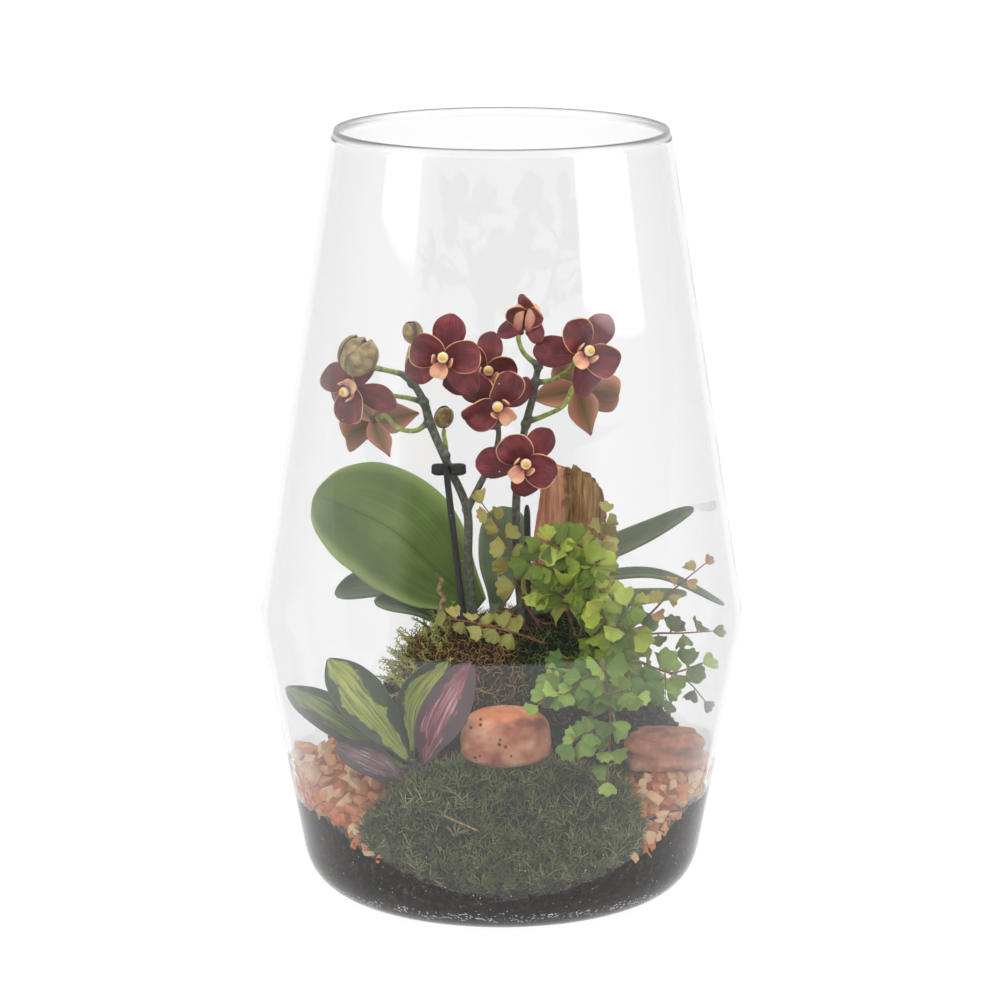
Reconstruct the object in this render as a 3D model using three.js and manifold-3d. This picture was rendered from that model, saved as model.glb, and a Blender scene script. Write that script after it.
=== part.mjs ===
// A planted glass vase: a dwarf moth orchid with maroon flowers grows on a ball of bog moss, over a bank of
// dark soil with a moss cushion, two stones, two beds of orange chips, a waxy variegated plant and a fern.
// Millimetres, +Z up. The origin is the centre of the vase's foot, and -Y is the side that the flowers face.
import * as THREE from 'three';
import { mergeVertices } from 'three/addons/utils/BufferGeometryUtils.js';
import Module from 'manifold-3d';

const wasm = await Module();
wasm.setup();

// Driving dimensions of the glass
const vaseHeight = 400;
const rimRadius = 86.3;
const shoulderRadius = 126.4;
const shoulderHeight = 144;
const footRadius = 99.9;
const wall = 3;
const floorThickness = 6;
const vaseSides = 36;
// How far from a corner its rounding starts, at the shoulder and at the foot
const shoulderRound = 7;
const footRound = 24;
// The clearance between two pieces that touch on the real thing
const gap = 0.4;

// Driving dimensions of the planting
const plateauHeight = 106;
const soilFrontHeight = 28;
const rootBallCentre = [6, 2];
const rootBallHalf = [63, 44];
const rootBallTop = 148;
const stemRadius = 1.9;
const pedicelRadius = 1.05;
const stakeRadius = 1.7;
const tepalLength = 20.5;
const bladeThickness = 0.9;
const petalThickness = 0.8;

const V = (x, y, z) => new THREE.Vector3(x, y, z);
const vectors = (points) => points.map((p) => V(...p));
const radians = THREE.MathUtils.degToRad;
const lerp = THREE.MathUtils.lerp;
const smoothstep = THREE.MathUtils.smoothstep;

function material(color, roughness, extra = {}) {
  return new THREE.MeshStandardMaterial({ color, roughness, metalness: 0, ...extra });
}

const materials = {
  glass: material(0xeef4f2, 0.03, { transparent: true, opacity: 0.25 }),
  soil: material(0x2e2520, 0.95),
  moss: material(0x4a5d2c, 0.95),
  bogMoss: material(0x6b5536, 0.95),
  chips: material(0xd9885a, 0.8),
  pebble: material(0xc9805a, 0.6),
  rock: material(0x9a5a3e, 0.85),
  bark: material(0xb0693f, 0.9),
  stem: material(0x4c4a38, 0.6),
  stake: material(0x1c1c1a, 0.5),
  tepal: material(0x5e2025, 0.5),
  lip: material(0xe0a88c, 0.5),
  bud: material(0x98904a, 0.55),
  orchidLeaf: material(0x4f7338, 0.45),
  variegated: material(0x7d8b35, 0.4),
  fern: material(0x7fa03a, 0.6),
};

// A repeatable source of numbers from 0 to 1
function random(seed) {
  let state = seed >>> 0;
  return () => {
    state = (state + 0x6d2b79f5) >>> 0;
    let t = Math.imul(state ^ (state >>> 15), 1 | state);
    t = (t + Math.imul(t ^ (t >>> 7), 61 | t)) ^ t;
    return ((t ^ (t >>> 14)) >>> 0) / 4294967296;
  };
}

// Solids: a closed three.js geometry becomes a body that can be cut and joined, and back again
function solid(geometry) {
  const bare = new THREE.BufferGeometry().setAttribute('position', geometry.getAttribute('position'));
  if (geometry.index) bare.setIndex(geometry.index);
  const merged = mergeVertices(bare, 1e-4);
  const corners = merged.index.array;
  const kept = [];
  for (let i = 0; i < corners.length; i += 3) {
    const [a, b, c] = [corners[i], corners[i + 1], corners[i + 2]];
    if (a !== b && b !== c && c !== a) kept.push(a, b, c);
  }
  return new wasm.Manifold(
    new wasm.Mesh({
      numProp: 3,
      vertProperties: new Float32Array(merged.getAttribute('position').array),
      triVerts: new Uint32Array(kept),
    }),
  );
}

function geometryOf(body) {
  const made = body.getMesh();
  const positions = new Float32Array(made.numVert * 3);
  for (let i = 0; i < made.numVert; i++) {
    positions.set(made.vertProperties.subarray(i * made.numProp, i * made.numProp + 3), i * 3);
  }
  const geometry = new THREE.BufferGeometry();
  geometry.setAttribute('position', new THREE.BufferAttribute(positions, 3));
  geometry.setIndex(new THREE.BufferAttribute(new Uint32Array(made.triVerts), 1));
  geometry.computeVertexNormals();
  return geometry;
}

const joined = (bodies) => bodies.reduce((all, body) => all.add(body));

// The largest piece of a body that a cut has parted
function largest(body) {
  const pieces = body.decompose();
  return pieces.reduce((best, piece) => (piece.volume() > best.volume() ? piece : best));
}

// A closed skin over a row of rings, which all have the same number of points. Small ends are closed by a flat
// strip, and broad ends by a fan round their middle.
function loft(rings, broadEnds = false) {
  const count = rings[0].length;
  const positions = rings.flat().flatMap((p) => [p.x, p.y, p.z]);
  const index = [];
  for (let i = 0; i < rings.length - 1; i++) {
    for (let k = 0; k < count; k++) {
      const [a, b] = [i * count + k, i * count + ((k + 1) % count)];
      index.push(a, b, a + count, b, b + count, a + count);
    }
  }
  for (const end of [0, rings.length - 1]) {
    const first = end * count;
    const add = (...corners) => index.push(...(end === 0 ? corners.reverse() : corners));
    if (broadEnds) {
      const centre = rings[end].reduce((sum, p) => sum.add(p), V(0, 0, 0)).divideScalar(count);
      const hub = positions.length / 3;
      positions.push(centre.x, centre.y, centre.z);
      for (let k = 0; k < count; k++) add(hub, first + k, first + ((k + 1) % count));
    } else {
      for (let k = 1; k < count - k; k++) {
        add(first + k - 1, first + k, first + count - k);
        if (k < count - 1 - k) add(first + k, first + count - 1 - k, first + count - k);
      }
    }
  }
  const geometry = new THREE.BufferGeometry();
  geometry.setAttribute('position', new THREE.Float32BufferAttribute(positions, 3));
  geometry.setIndex(index);
  return geometry;
}

// A round stem along a smooth curve, whose radius runs through the given values
function stem(points, radii, sides = 6, steps = 10) {
  const curve = new THREE.CatmullRomCurve3(vectors(points));
  const reference = V(0.13, 1, 0.21).normalize();
  const rings = [];
  for (let i = 0; i <= steps; i++) {
    const u = i / steps;
    const centre = curve.getPointAt(u);
    const along = curve.getTangentAt(u);
    const side = V(0, 0, 0).crossVectors(along, reference).normalize();
    const other = V(0, 0, 0).crossVectors(along, side);
    const place = u * (radii.length - 1);
    const from = Math.min(Math.floor(place), radii.length - 2);
    const radius = lerp(radii[from], radii[from + 1], place - from);
    rings.push(
      Array.from({ length: sides }, (_, k) => {
        const turn = (2 * Math.PI * k) / sides;
        return centre
          .clone()
          .addScaledVector(side, radius * Math.cos(turn))
          .addScaledVector(other, radius * Math.sin(turn));
      }),
    );
  }
  return loft(rings);
}

// A blade along a curve: its outline is a list of [share of the length, half width], it faces one way at the
// foot and another at the tip, and its sides rise by cup times the half width. Wide blades get a midrib line.
function blade({ points, outline, faces, facesTip = faces, cup = 0, thickness = bladeThickness, midrib = true }) {
  const curve = new THREE.CatmullRomCurve3(vectors(points));
  const across = midrib ? [-1, 0, 1, 1, 0, -1] : [-1, 1, 1, -1];
  const face = midrib ? [1, 1, 1, -1, -1, -1] : [1, 1, -1, -1];
  const [first, last] = vectors([faces, facesTip]);
  const rings = outline.map(([u, half]) => {
    const centre = curve.getPointAt(u);
    const along = curve.getTangentAt(u);
    const normal = first.clone().lerp(last, u);
    normal.addScaledVector(along, -normal.dot(along)).normalize();
    const side = V(0, 0, 0).crossVectors(normal, along);
    return across.map((a, k) =>
      centre
        .clone()
        .addScaledVector(side, -a * half)
        .addScaledVector(normal, cup * half * a * a + (face[k] * thickness) / 2),
    );
  });
  return loft(rings);
}

// The glass. Its profile is straight between the rim, the shoulder and the foot, with rounded corners.
function radiusAt(height) {
  return height > shoulderHeight
    ? lerp(shoulderRadius, rimRadius, (height - shoulderHeight) / (vaseHeight - shoulderHeight))
    : lerp(footRadius, shoulderRadius, height / shoulderHeight);
}

function profile(inset, bottom, top) {
  const corner = (r, z) => new THREE.Vector2(r - inset, z);
  const rim = corner(radiusAt(top), top);
  const shoulder = corner(shoulderRadius, shoulderHeight);
  const foot = corner(radiusAt(bottom), bottom);
  const toward = (from, to, distance) => to.clone().sub(from).setLength(distance).add(from);
  const start = toward(foot, new THREE.Vector2(0, bottom), footRound - inset);
  const path = new THREE.Path();
  path.moveTo(0, bottom);
  path.lineTo(start.x, start.y);
  const footEnd = toward(foot, shoulder, footRound - inset);
  path.quadraticCurveTo(foot.x, foot.y, footEnd.x, footEnd.y);
  const shoulderStart = toward(shoulder, foot, shoulderRound);
  const shoulderEnd = toward(shoulder, rim, shoulderRound);
  path.lineTo(shoulderStart.x, shoulderStart.y);
  path.quadraticCurveTo(shoulder.x, shoulder.y, shoulderEnd.x, shoulderEnd.y);
  path.lineTo(rim.x, rim.y);
  return path.getPoints(3);
}

function turned(points) {
  return new THREE.LatheGeometry(points, vaseSides).rotateX(Math.PI / 2);
}

function glassVase() {
  const outside = profile(0, 0, vaseHeight - wall / 2);
  const inside = profile(wall, floorThickness, vaseHeight - wall / 2).reverse();
  const lip = new THREE.Vector2(rimRadius - wall / 2, vaseHeight);
  return turned([...outside, lip, ...inside]);
}

const insideOfGlass = solid(
  turned([...profile(wall + gap, floorThickness + gap, vaseHeight), new THREE.Vector2(0, vaseHeight)]),
);

// The ground. The soil is low and flat at the front and rises to a plateau that carries the ball of bog moss.
const onPlateau = (x, y, grow) => {
  const [cx, cy] = rootBallCentre;
  return Math.hypot((x - cx) / (rootBallHalf[0] + grow), (y - cy) / (rootBallHalf[1] + grow));
};

function soilHeight(x, y) {
  const slope = lerp(soilFrontHeight, 76, smoothstep(y, -100, -28));
  const sides = 12 * (x / 100) ** 2 * smoothstep(-y, 10, 90);
  const back = 18 * smoothstep(y, -22, 30);
  const ripple = 1.4 * Math.sin(x * 0.19 + 1) * Math.cos(y * 0.16);
  const foot = 1.26 + 0.7 * smoothstep(y, -10, 45);
  const rise = 1 - smoothstep(onPlateau(x, y, 3), 1, foot);
  return lerp(slope + sides - back + ripple, plateauHeight, rise);
}

// A lump: a polar grid over an outline, whose underside and top follow two formulas
function lump({ centre, half, turn = 0, bottom, height, sides = 28, rings = 6, wobble = 0, grow = 0 }) {
  const [c, s] = [Math.cos(radians(turn)), Math.sin(radians(turn))];
  const ring = (share, level) =>
    Array.from({ length: sides }, (_, k) => {
      const angle = (2 * Math.PI * k) / sides;
      const edge = share * (1 + wobble * Math.sin(3 * angle + centre[0]) * Math.cos(2 * angle));
      const along = (half[0] + grow) * edge * Math.cos(angle);
      const across = (half[1] + grow) * edge * Math.sin(angle);
      const [x, y] = [centre[0] + along * c - across * s, centre[1] + along * s + across * c];
      return V(x, y, level(x, y, share));
    });
  const rows = [ring(0.5, bottom), ring(1, bottom)];
  for (let i = rings; i > 0; i--) rows.push(ring(i / rings, height));
  rows.push(ring(0.12, height));
  return loft(rows, true);
}

// The upright prism over the same outline. Grown, it clears the soil for the lump.
function bed(shape, grow) {
  const bottom = (x, y, share) => shape.bottom(x, y, share) - grow;
  return solid(lump({ ...shape, bottom, height: () => 260, rings: 1, grow }));
}

const cushionHeight = (x, y, share) => {
  const bank = lerp(30, 85, smoothstep(y, -106, -52));
  const rounded = 11 * share ** 4 * smoothstep(y, -95, -60);
  return bank - rounded - 5 * (Math.abs(x - 5) / 70) ** 3 + 1.2 * Math.sin(x * 0.5) * Math.cos(y * 0.6);
};
const cushion = {
  centre: [4, -74],
  half: [71, 28],
  bottom: (x) => 24 + 17 * ((x - 4) / 70) ** 2,
  height: cushionHeight,
  wobble: 0.07,
  sides: 28,
  rings: 6,
};

const leftChipsHeight = (x, y, share) => lerp(44, 82, smoothstep(y, -92, -24)) - 4 * share ** 3;
const leftChips = {
  centre: [-76, -48],
  half: [40, 25],
  turn: -48,
  bottom: (x, y) => lerp(30, 53, smoothstep(y, -95, -55)),
  height: leftChipsHeight,
  sides: 14,
  rings: 3,
};

const rightChipsHeight = (x, y, share) => lerp(40, 74, smoothstep(y, -88, -20)) - 4 * share ** 3;
const rightChips = {
  centre: [84, -46],
  half: [38, 23],
  turn: 50,
  bottom: (x, y) => lerp(30, 58, smoothstep(y, -92, -45)),
  height: rightChipsHeight,
  sides: 14,
  rings: 3,
};

// Angular chips strewn over a bed and half sunk in it
function chipBed(shape, seed, count, chipSize) {
  const draw = random(seed);
  const core = solid(lump(shape));
  const [c, s] = [Math.cos(radians(shape.turn)), Math.sin(radians(shape.turn))];
  const chips = [];
  for (let i = 0; i < count; i++) {
    const spread = Math.sqrt((i + 0.5) / count);
    const angle = i * 2.39996;
    const px = shape.half[0] * spread * Math.cos(angle);
    const py = shape.half[1] * spread * Math.sin(angle);
    const x = shape.centre[0] + px * c - py * s;
    const y = shape.centre[1] + px * s + py * c;
    const size = chipSize * (0.8 + 0.45 * draw());
    const chip = new THREE.OctahedronGeometry(size, 0)
      .scale(1, 0.75 + 0.2 * draw(), 0.6)
      .rotateX(draw() * 2)
      .rotateZ(draw() * 3)
      .rotateY(draw() * 1.2)
      .translate(x, y, shape.height(x, y, spread) - 0.1 * size);
    chips.push(solid(chip));
  }
  return joined([core, ...chips]).intersect(bed(shape, 0));
}

// Stones: a ball pressed flat above and below, with a worn surface from a formula
function stone({ at, half, flatten, wobble, turn, detail = 3 }) {
  const geometry = new THREE.IcosahedronGeometry(1, detail);
  const place = geometry.getAttribute('position');
  for (let i = 0; i < place.count; i++) {
    const p = V(place.getX(i), place.getY(i), place.getZ(i));
    const worn = 1 + wobble * (Math.sin(3.1 * p.x + 1.7 * p.z + 0.4) * Math.cos(2.6 * p.y - p.z) - 0.3 * p.x * p.y);
    const z = Math.sign(p.z) * Math.abs(p.z) ** flatten;
    place.setXYZ(i, p.x * worn * half[0], p.y * worn * half[1], z * half[2]);
  }
  return geometry.rotateZ(radians(turn)).translate(...at);
}

const riverPebble = { at: [2, -57, 94.5], half: [23.8, 15, 15.6], flatten: 0.72, wobble: 0.05, turn: 6, detail: 2 };

// A slab of layered rock: a block whose sides step in and out with height
function layeredRock(at, half, grow = 0) {
  const levels = [-1, -0.55, -0.1, 0.02, 0.35, 0.75, 1];
  const ledges = [0.84, 0.98, 1, 0.9, 0.93, 0.8, 0.6];
  const sides = 18;
  return loft(
    levels.map((level, i) =>
      Array.from({ length: sides }, (_, k) => {
        const angle = (2 * Math.PI * k) / sides;
        const squared = 1 / Math.max(Math.abs(Math.cos(angle)), Math.abs(Math.sin(angle))) ** 0.45;
        const rough = 1 + 0.06 * Math.sin(5 * angle + 2 * i) + 0.04 * Math.cos(3 * angle - i);
        const reach = ledges[i] * squared * rough;
        return V(
          at[0] + reach * (half[0] + grow) * Math.cos(angle),
          at[1] + reach * (half[1] + grow) * Math.sin(angle),
          at[2] + level * (half[2] + grow) + (i > 3 ? 1.5 * Math.sin(4 * angle) : 0),
        );
      }),
    ),
    true,
  );
}

const rockPlace = [84, -27, 80];
const rockHalf = [22, 15, 10.5];

// The ball of bog moss round the orchid's roots
const ballHeight = (x, y, share) => {
  const dome = (rootBallTop - plateauHeight) * Math.sqrt(Math.max(0, 1 - share ** 1.7));
  const tufts = 2.2 * Math.sin(x * 0.33) * Math.cos(y * 0.41) + 1.3 * Math.sin(x * 0.9 + y * 0.7);
  return plateauHeight + 6 + (dome - 6) * (0.9 + 0.1 * share) + tufts * (1 - 0.5 * share);
};
const rootBall = {
  centre: rootBallCentre,
  half: rootBallHalf,
  bottom: () => plateauHeight + gap,
  height: ballHeight,
  wobble: 0.05,
  sides: 26,
  rings: 6,
};

// The piece of bark: a split log's outer half, with upright fissures and a torn top
const barkFoot = [37, 30, plateauHeight + gap];
const barkHalf = [21, 9.5];
const barkHeight = 108;

function barkChunk(grow = 0) {
  const sides = 22;
  const levels = [0, 0.25, 0.5, 0.75, 0.93, 1];
  return loft(
    levels.map((level, i) =>
      Array.from({ length: sides }, (_, k) => {
        const angle = (2 * Math.PI * k) / sides;
        const fissure = k % 2 && level > 0.1 ? 0.88 : 1;
        const taper = lerp(1.04, 0.8, level ** 3) * (1 + 0.04 * Math.sin(2.1 * i + 3 * angle));
        const x = (barkHalf[0] * taper * fissure + grow) * Math.cos(angle);
        const y = (barkHalf[1] * taper * fissure + grow) * Math.sin(angle);
        const torn = i < 4 ? 0 : 3 * Math.sin(5 * angle + 1) + 2 * Math.cos(9 * angle);
        const shoulder = i < 4 ? 0 : -14 * smoothstep(x, 4, 22) + 3 * smoothstep(-x, 0, 12);
        return V(barkFoot[0] + x, barkFoot[1] + y, barkFoot[2] + level * barkHeight + torn + shoulder);
      }),
    ),
    true,
  );
}

// The two thin sticks that the flower stems are tied to
const stakes = {
  left: { foot: [-15.5, -18, 110], top: [-28.8, -13, 227] },
  right: { foot: [14.5, -12.5, 110], top: [13.2, -9, 205] },
};

function stick({ foot, top }, radius, sides = 8) {
  return stem([foot, top], [radius, radius], sides, 1);
}

// Flowers. centre is where the tepals meet, faces is the way the flower looks, and dorsal is the angle of its
// topmost tepal in the front view, in degrees from +X towards +Z. open is 1 on a flat flower.
const flowers = [
  { name: 'far_left', centre: [-76, -8, 266], faces: [-0.5, -0.86, 0], dorsal: 205, size: 1 },
  { name: 'left_back', centre: [-67, 10, 246], faces: [-0.72, 0.6, -0.35], dorsal: 140, size: 1.05 },
  { name: 'upper_left', centre: [-29, -28, 286], faces: [-0.12, -0.99, 0.02], dorsal: 79, size: 1.05 },
  { name: 'centre_back', centre: [-9, 6, 272], faces: [0.25, -0.96, 0.12], dorsal: 70, size: 1 },
  { name: 'centre', centre: [-3, -13, 260], faces: [0.25, -0.94, -0.22], dorsal: 140, size: 1.05 },
  { name: 'lower_right', centre: [11, -25, 231], faces: [0.08, -0.99, -0.05], dorsal: 52, size: 1.04 },
  { name: 'upper_right', centre: [42, -16, 287], faces: [0.25, -0.96, 0.1], dorsal: 46, size: 1.06 },
  { name: 'right_back', centre: [40, 13, 262], faces: [0.3, 0.93, -0.2], dorsal: 60, size: 1.12 },
  { name: 'top', centre: [14, 1, 300.5], faces: [-0.3, -0.93, 0.2], dorsal: 84, size: 0.83, open: 0.35 },
];

// The five tepals: angle from the topmost one, length, half width, and how far each leans forward
const tepals = [
  { angle: 0, length: 1.02, half: 0.37, lean: -4 },
  { angle: 72, length: 0.95, half: 0.41, lean: 15 },
  { angle: -72, length: 0.95, half: 0.41, lean: 15 },
  { angle: 131, length: 1.14, half: 0.35, lean: -10 },
  { angle: -131, length: 1.14, half: 0.35, lean: -10 },
];

// The flower's own axes: out of its face, towards its topmost tepal, and across
function axesOf(flower) {
  const out = V(...flower.faces).normalize();
  const up = V(Math.cos(radians(flower.dorsal)), 0, Math.sin(radians(flower.dorsal)));
  up.addScaledVector(out, -up.dot(out)).normalize();
  const across = V(0, 0, 0).crossVectors(up, out).normalize();
  return { centre: V(...flower.centre), out, up, across };
}

function tepalRing(flower) {
  const { centre, out, up, across } = axesOf(flower);
  const scale = tepalLength * flower.size;
  const openness = flower.open ?? 1;
  const parts = tepals.map(({ angle, length, half, lean }) => {
    const turn = radians(angle);
    const away = up.clone().multiplyScalar(Math.cos(turn)).addScaledVector(across, -Math.sin(turn));
    const tilt = radians(lerp(74, lean, openness));
    const reach = (distance, bend) =>
      centre
        .clone()
        .addScaledVector(away, distance * Math.cos(tilt + bend) * scale * length)
        .addScaledVector(out, distance * Math.sin(tilt + bend) * scale * length)
        .toArray();
    const normal = out.clone().multiplyScalar(Math.cos(tilt)).addScaledVector(away, -Math.sin(tilt));
    const broad = half * scale * (openness < 1 ? 0.8 : 1);
    return solid(
      blade({
        points: [reach(0.02, 0), reach(0.55, 0.04), reach(1, -0.06)],
        outline: widened([[0, 0.1], [0.4, 0.88], [0.8, 0.94], [1, 0.3]], broad),
        faces: normal.toArray(),
        cup: Math.abs(angle) === 72 ? 0.22 : -0.12,
        thickness: petalThickness,
      }),
    );
  });
  const hub = new THREE.OctahedronGeometry(2.5, 0).translate(...flower.centre);
  return joined([solid(hub), ...parts]);
}

// The column with its cap, and the lip that hangs under it, grown together
function lipAndColumn(flower) {
  const { centre, out, up } = axesOf(flower);
  const size = flower.size;
  const at = (forward, rise) =>
    centre.clone().addScaledVector(out, forward * size).addScaledVector(up, rise * size).toArray();
  const column = stem([at(4.1, 0), at(7, 0.8), at(9.4, 1.6)], [1.4, 2.1, 1.7], 6, 2);
  const lip = blade({
    points: [at(4.4, -0.5), at(6.5, -4), at(9.5, -8), at(9, -11)],
    outline: [[0, 1.1], [0.6, 4.2], [1, 1.8]],
    faces: out.toArray(),
    cup: 0.55,
    thickness: 1,
  });
  return joined([solid(column), solid(lip)]);
}

const beyond = (flower, distance) => {
  const { centre, out } = axesOf(flower);
  return centre.addScaledVector(out, -distance).toArray();
};

// Buds: an egg of folded tepals with three seams
const buds = [
  { name: 'bud_large', at: [-73, -25, 285.5], half: [9.3, 8, 9.3], tilt: 25, split: 0.22 },
  { name: 'bud_small', at: [-45.7, 7, 292.5], half: [5.3, 5, 6.2], tilt: -12, split: 0.08 },
  { name: 'bud_behind', at: [-30, 14, 246.5], half: [5, 4.8, 6], tilt: 20, split: 0.1 },
];

function budShape({ at, half, tilt, split }) {
  const geometry = new THREE.SphereGeometry(1, 9, 7);
  const place = geometry.getAttribute('position');
  for (let i = 0; i < place.count; i++) {
    const p = V(place.getX(i), place.getY(i), place.getZ(i));
    const angle = Math.atan2(p.z, p.x);
    const seam = 1 - split * 0.5 * (1 + Math.cos(3 * angle)) * Math.max(0, 0.4 + p.y);
    place.setXYZ(i, p.x * seam * half[0], p.y * half[2], p.z * seam * half[1]);
  }
  return geometry.rotateX(Math.PI / 2).rotateY(radians(tilt)).translate(...at);
}

// The flower stems, each with its side stalks. A stalk ends just behind the flower or bud that it carries.
const flowerNamed = (name) => flowers.find((flower) => flower.name === name);
const stalkEnd = 3.4;

function stalk(from, through, name, radius = pedicelRadius) {
  const flower = flowerNamed(name);
  const points = [from, ...through, beyond(flower, 9 * flower.size), beyond(flower, stalkEnd)];
  return solid(stem(points, [radius * 1.25, radius, radius, radius * 1.3], 5, 5));
}

function leftFlowerStem() {
  const main = stem(
    [[-13.5, -10, 112], [-15, -10, 147], [-17.4, -8, 175], [-18, -5, 202], [-28, -5, 226], [-37, -3, 247.5],
      [-40, -3, 258], [-45.6, -2, 267.5], [-52, -2, 273]],
    [2.3, 2.2, 2, 1.8, 1.6, 1.9, 1.3], 6, 11,
  );
  const branch = stem(
    [[-18, -6, 201], [-12.2, -8, 213.5], [-7, -7, 224], [-2, 3, 235], [-2, 12, 245], [-6, 19, 255]],
    [1.5, 1.4, 1.3, 1.1, 0.9], 5, 6,
  );
  const twig = stem([[-29, -4, 230], [-29, 2, 235], [-30, 9, 238], [-30, 12.8, 240.2]], [1.2, 1, 0.9], 5, 3);
  const toLargeBud = stem(
    [[-51, -2, 272.6], [-56, -8, 275], [-61, -15, 277.5], [-65.5, -20, 279.5]],
    [1.3, 1.1, 1.2], 5, 4,
  );
  const toSmallBud = stem([[-47, -2, 269], [-49, 3, 276], [-47.5, 6.4, 283], [-46.6, 7, 285.6]], [1.1, 0.9, 1], 5, 4);
  return joined([
    solid(main),
    solid(branch),
    solid(twig),
    solid(toLargeBud),
    solid(toSmallBud),
    stalk([-40, -3, 258], [[-49, 4, 259], [-60, 8, 260]], 'far_left'),
    stalk([-37.5, -3, 248], [[-44, -5, 243.5], [-54, 0, 244]], 'left_back'),
    stalk([-45, -2.4, 266.5], [[-39, -5, 276]], 'upper_left'),
    stalk([-5.6, 18, 254], [[-11, 21, 262]], 'centre_back'),
    stalk([-2, 9.5, 241.5], [[-5, 4, 251]], 'centre'),
    stalk([-7.5, -7.4, 223], [[1, -10, 228]], 'lower_right'),
  ]);
}

function rightFlowerStem() {
  const main = stem(
    [[11, -7, 112], [10.8, -7, 146], [8, -3, 174], [7.5, 1, 200], [9.4, 3, 226], [12.6, 4, 245], [16.2, 4, 259],
      [18.8, 3, 274], [21, 4, 280]],
    [2.2, 2.1, 1.9, 1.8, 1.6, 1.6, 1.3], 6, 11,
  );
  return joined([
    solid(main),
    stalk([18.6, 3, 276], [[11, 6, 283], [9, 10, 291]], 'top'),
    stalk([17.5, 3, 267], [[27, -3, 270], [36, -6, 277]], 'upper_right'),
    stalk([12.8, 4, 246], [[22, 1, 250], [32, -2, 256]], 'right_back'),
  ]);
}

// The clip that holds the left stem to its stick: a small plate with two wings
function stemClip(stemSolid) {
  const outline = new THREE.Shape();
  outline.absellipse(-8.5, 0, 3.2, 3, Math.PI / 2, 1.5 * Math.PI, false);
  outline.lineTo(8, -3);
  outline.absellipse(10.5, 0, 3.4, 3.6, 1.5 * Math.PI, 0.5 * Math.PI, false);
  outline.lineTo(-8.5, 3);
  const plate = new THREE.ExtrudeGeometry(outline, { depth: 4.6, bevelEnabled: false, curveSegments: 3 });
  plate.scale(0.7, 1.25, 1).translate(-28, -9.3, 221.8);
  const room = joined([stemSolid, solid(stick(stakes.left, stakeRadius + gap))]);
  const cleared = [[0, 0], [gap, 0], [-gap, 0], [0, gap], [0, -gap]].map(([x, y]) => room.translate([x, y, 0]));
  return largest(cleared.reduce((body, cutter) => body.subtract(cutter), solid(plate)));
}

// The orchid's leaves, thick and strap shaped, from a short crown
const broad = [[0, 0.16], [0.12, 0.42], [0.3, 0.8], [0.52, 1], [0.74, 0.96], [0.9, 0.66], [0.98, 0.3], [1, 0.12]];
const strap = [[0, 0.22], [0.16, 0.42], [0.42, 0.92], [0.7, 1], [0.88, 0.78], [0.97, 0.4], [1, 0.15]];
const widened = (outline, half) => outline.map(([u, share]) => [u, share * half]);
const leafThickness = 1.6;
const orchidLeaves = [
  {
    name: 'orchid_leaf_large', points: [[-11, 3, 148], [-32, 5, 165], [-58, 9, 188], [-98, 13, 206]],
    outline: broad, half: 31, faces: [-0.3, -0.86, 0.42], facesTip: [-0.1, -0.8, 0.6], cup: 0.1,
  },
  {
    name: 'orchid_leaf_left_back', points: [[-12, 13, 147], [-35, 26, 153], [-62, 33, 153], [-89, 38, 147]],
    outline: strap, half: 15, faces: [0.1, -0.45, 0.9], facesTip: [-0.2, -0.3, 0.9], cup: 0.18,
  },
  {
    name: 'orchid_leaf_left_low', points: [[-11, 7, 137], [-32, 11, 138], [-50, 5, 147], [-66, -2, 151]],
    outline: strap, half: 10, faces: [0.1, -0.2, 0.95], facesTip: [0.3, -0.3, 0.9], cup: 0.25,
  },
  {
    name: 'orchid_leaf_right_upper', points: [[1, 16, 147], [10, 56, 150], [50, 67, 160], [80, 62, 174], [104, 50, 190]],
    outline: strap, half: 12, faces: [-0.3, -0.3, 0.85], facesTip: [-0.4, -0.45, 0.7], cup: 0.2,
  },
  {
    name: 'orchid_leaf_right_middle', points: [[5, 6, 145], [38, 8, 158], [80, 10, 163], [117, 2, 149]],
    outline: strap, half: 9, faces: [-0.2, -0.05, 0.97], facesTip: [0.3, -0.05, 0.95], cup: 0.2,
  },
  {
    name: 'orchid_leaf_right_low', points: [[6, 0, 141], [32, -4, 151], [64, -12, 155], [96, -14, 159]],
    outline: strap, half: 10, faces: [-0.1, -0.3, 0.94], facesTip: [-0.1, -0.25, 0.95], cup: 0.18,
  },
];

function orchidLeaf({ outline, half, ...shape }, grow = 0) {
  return solid(blade({ ...shape, outline: widened(outline, half + grow), thickness: leafThickness + 2 * grow }));
}

// The crown: a short stub with the innermost leaf, which stands behind the bark
function crown() {
  const stub = stem([[-3, 4, 118], [-3, 4, 140], [-2.5, 5, 149]], [6, 6, 3], 8, 2);
  const leaf = blade({
    points: [[-3, 7, 142], [-1, 22, 160], [1, 42, 176], [3, 62, 188]],
    outline: widened(strap, 13), faces: [0.1, -0.8, 0.5], facesTip: [0.1, -0.4, 0.9], cup: 0.15,
  });
  return joined([solid(stub), solid(leaf)]);
}

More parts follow.
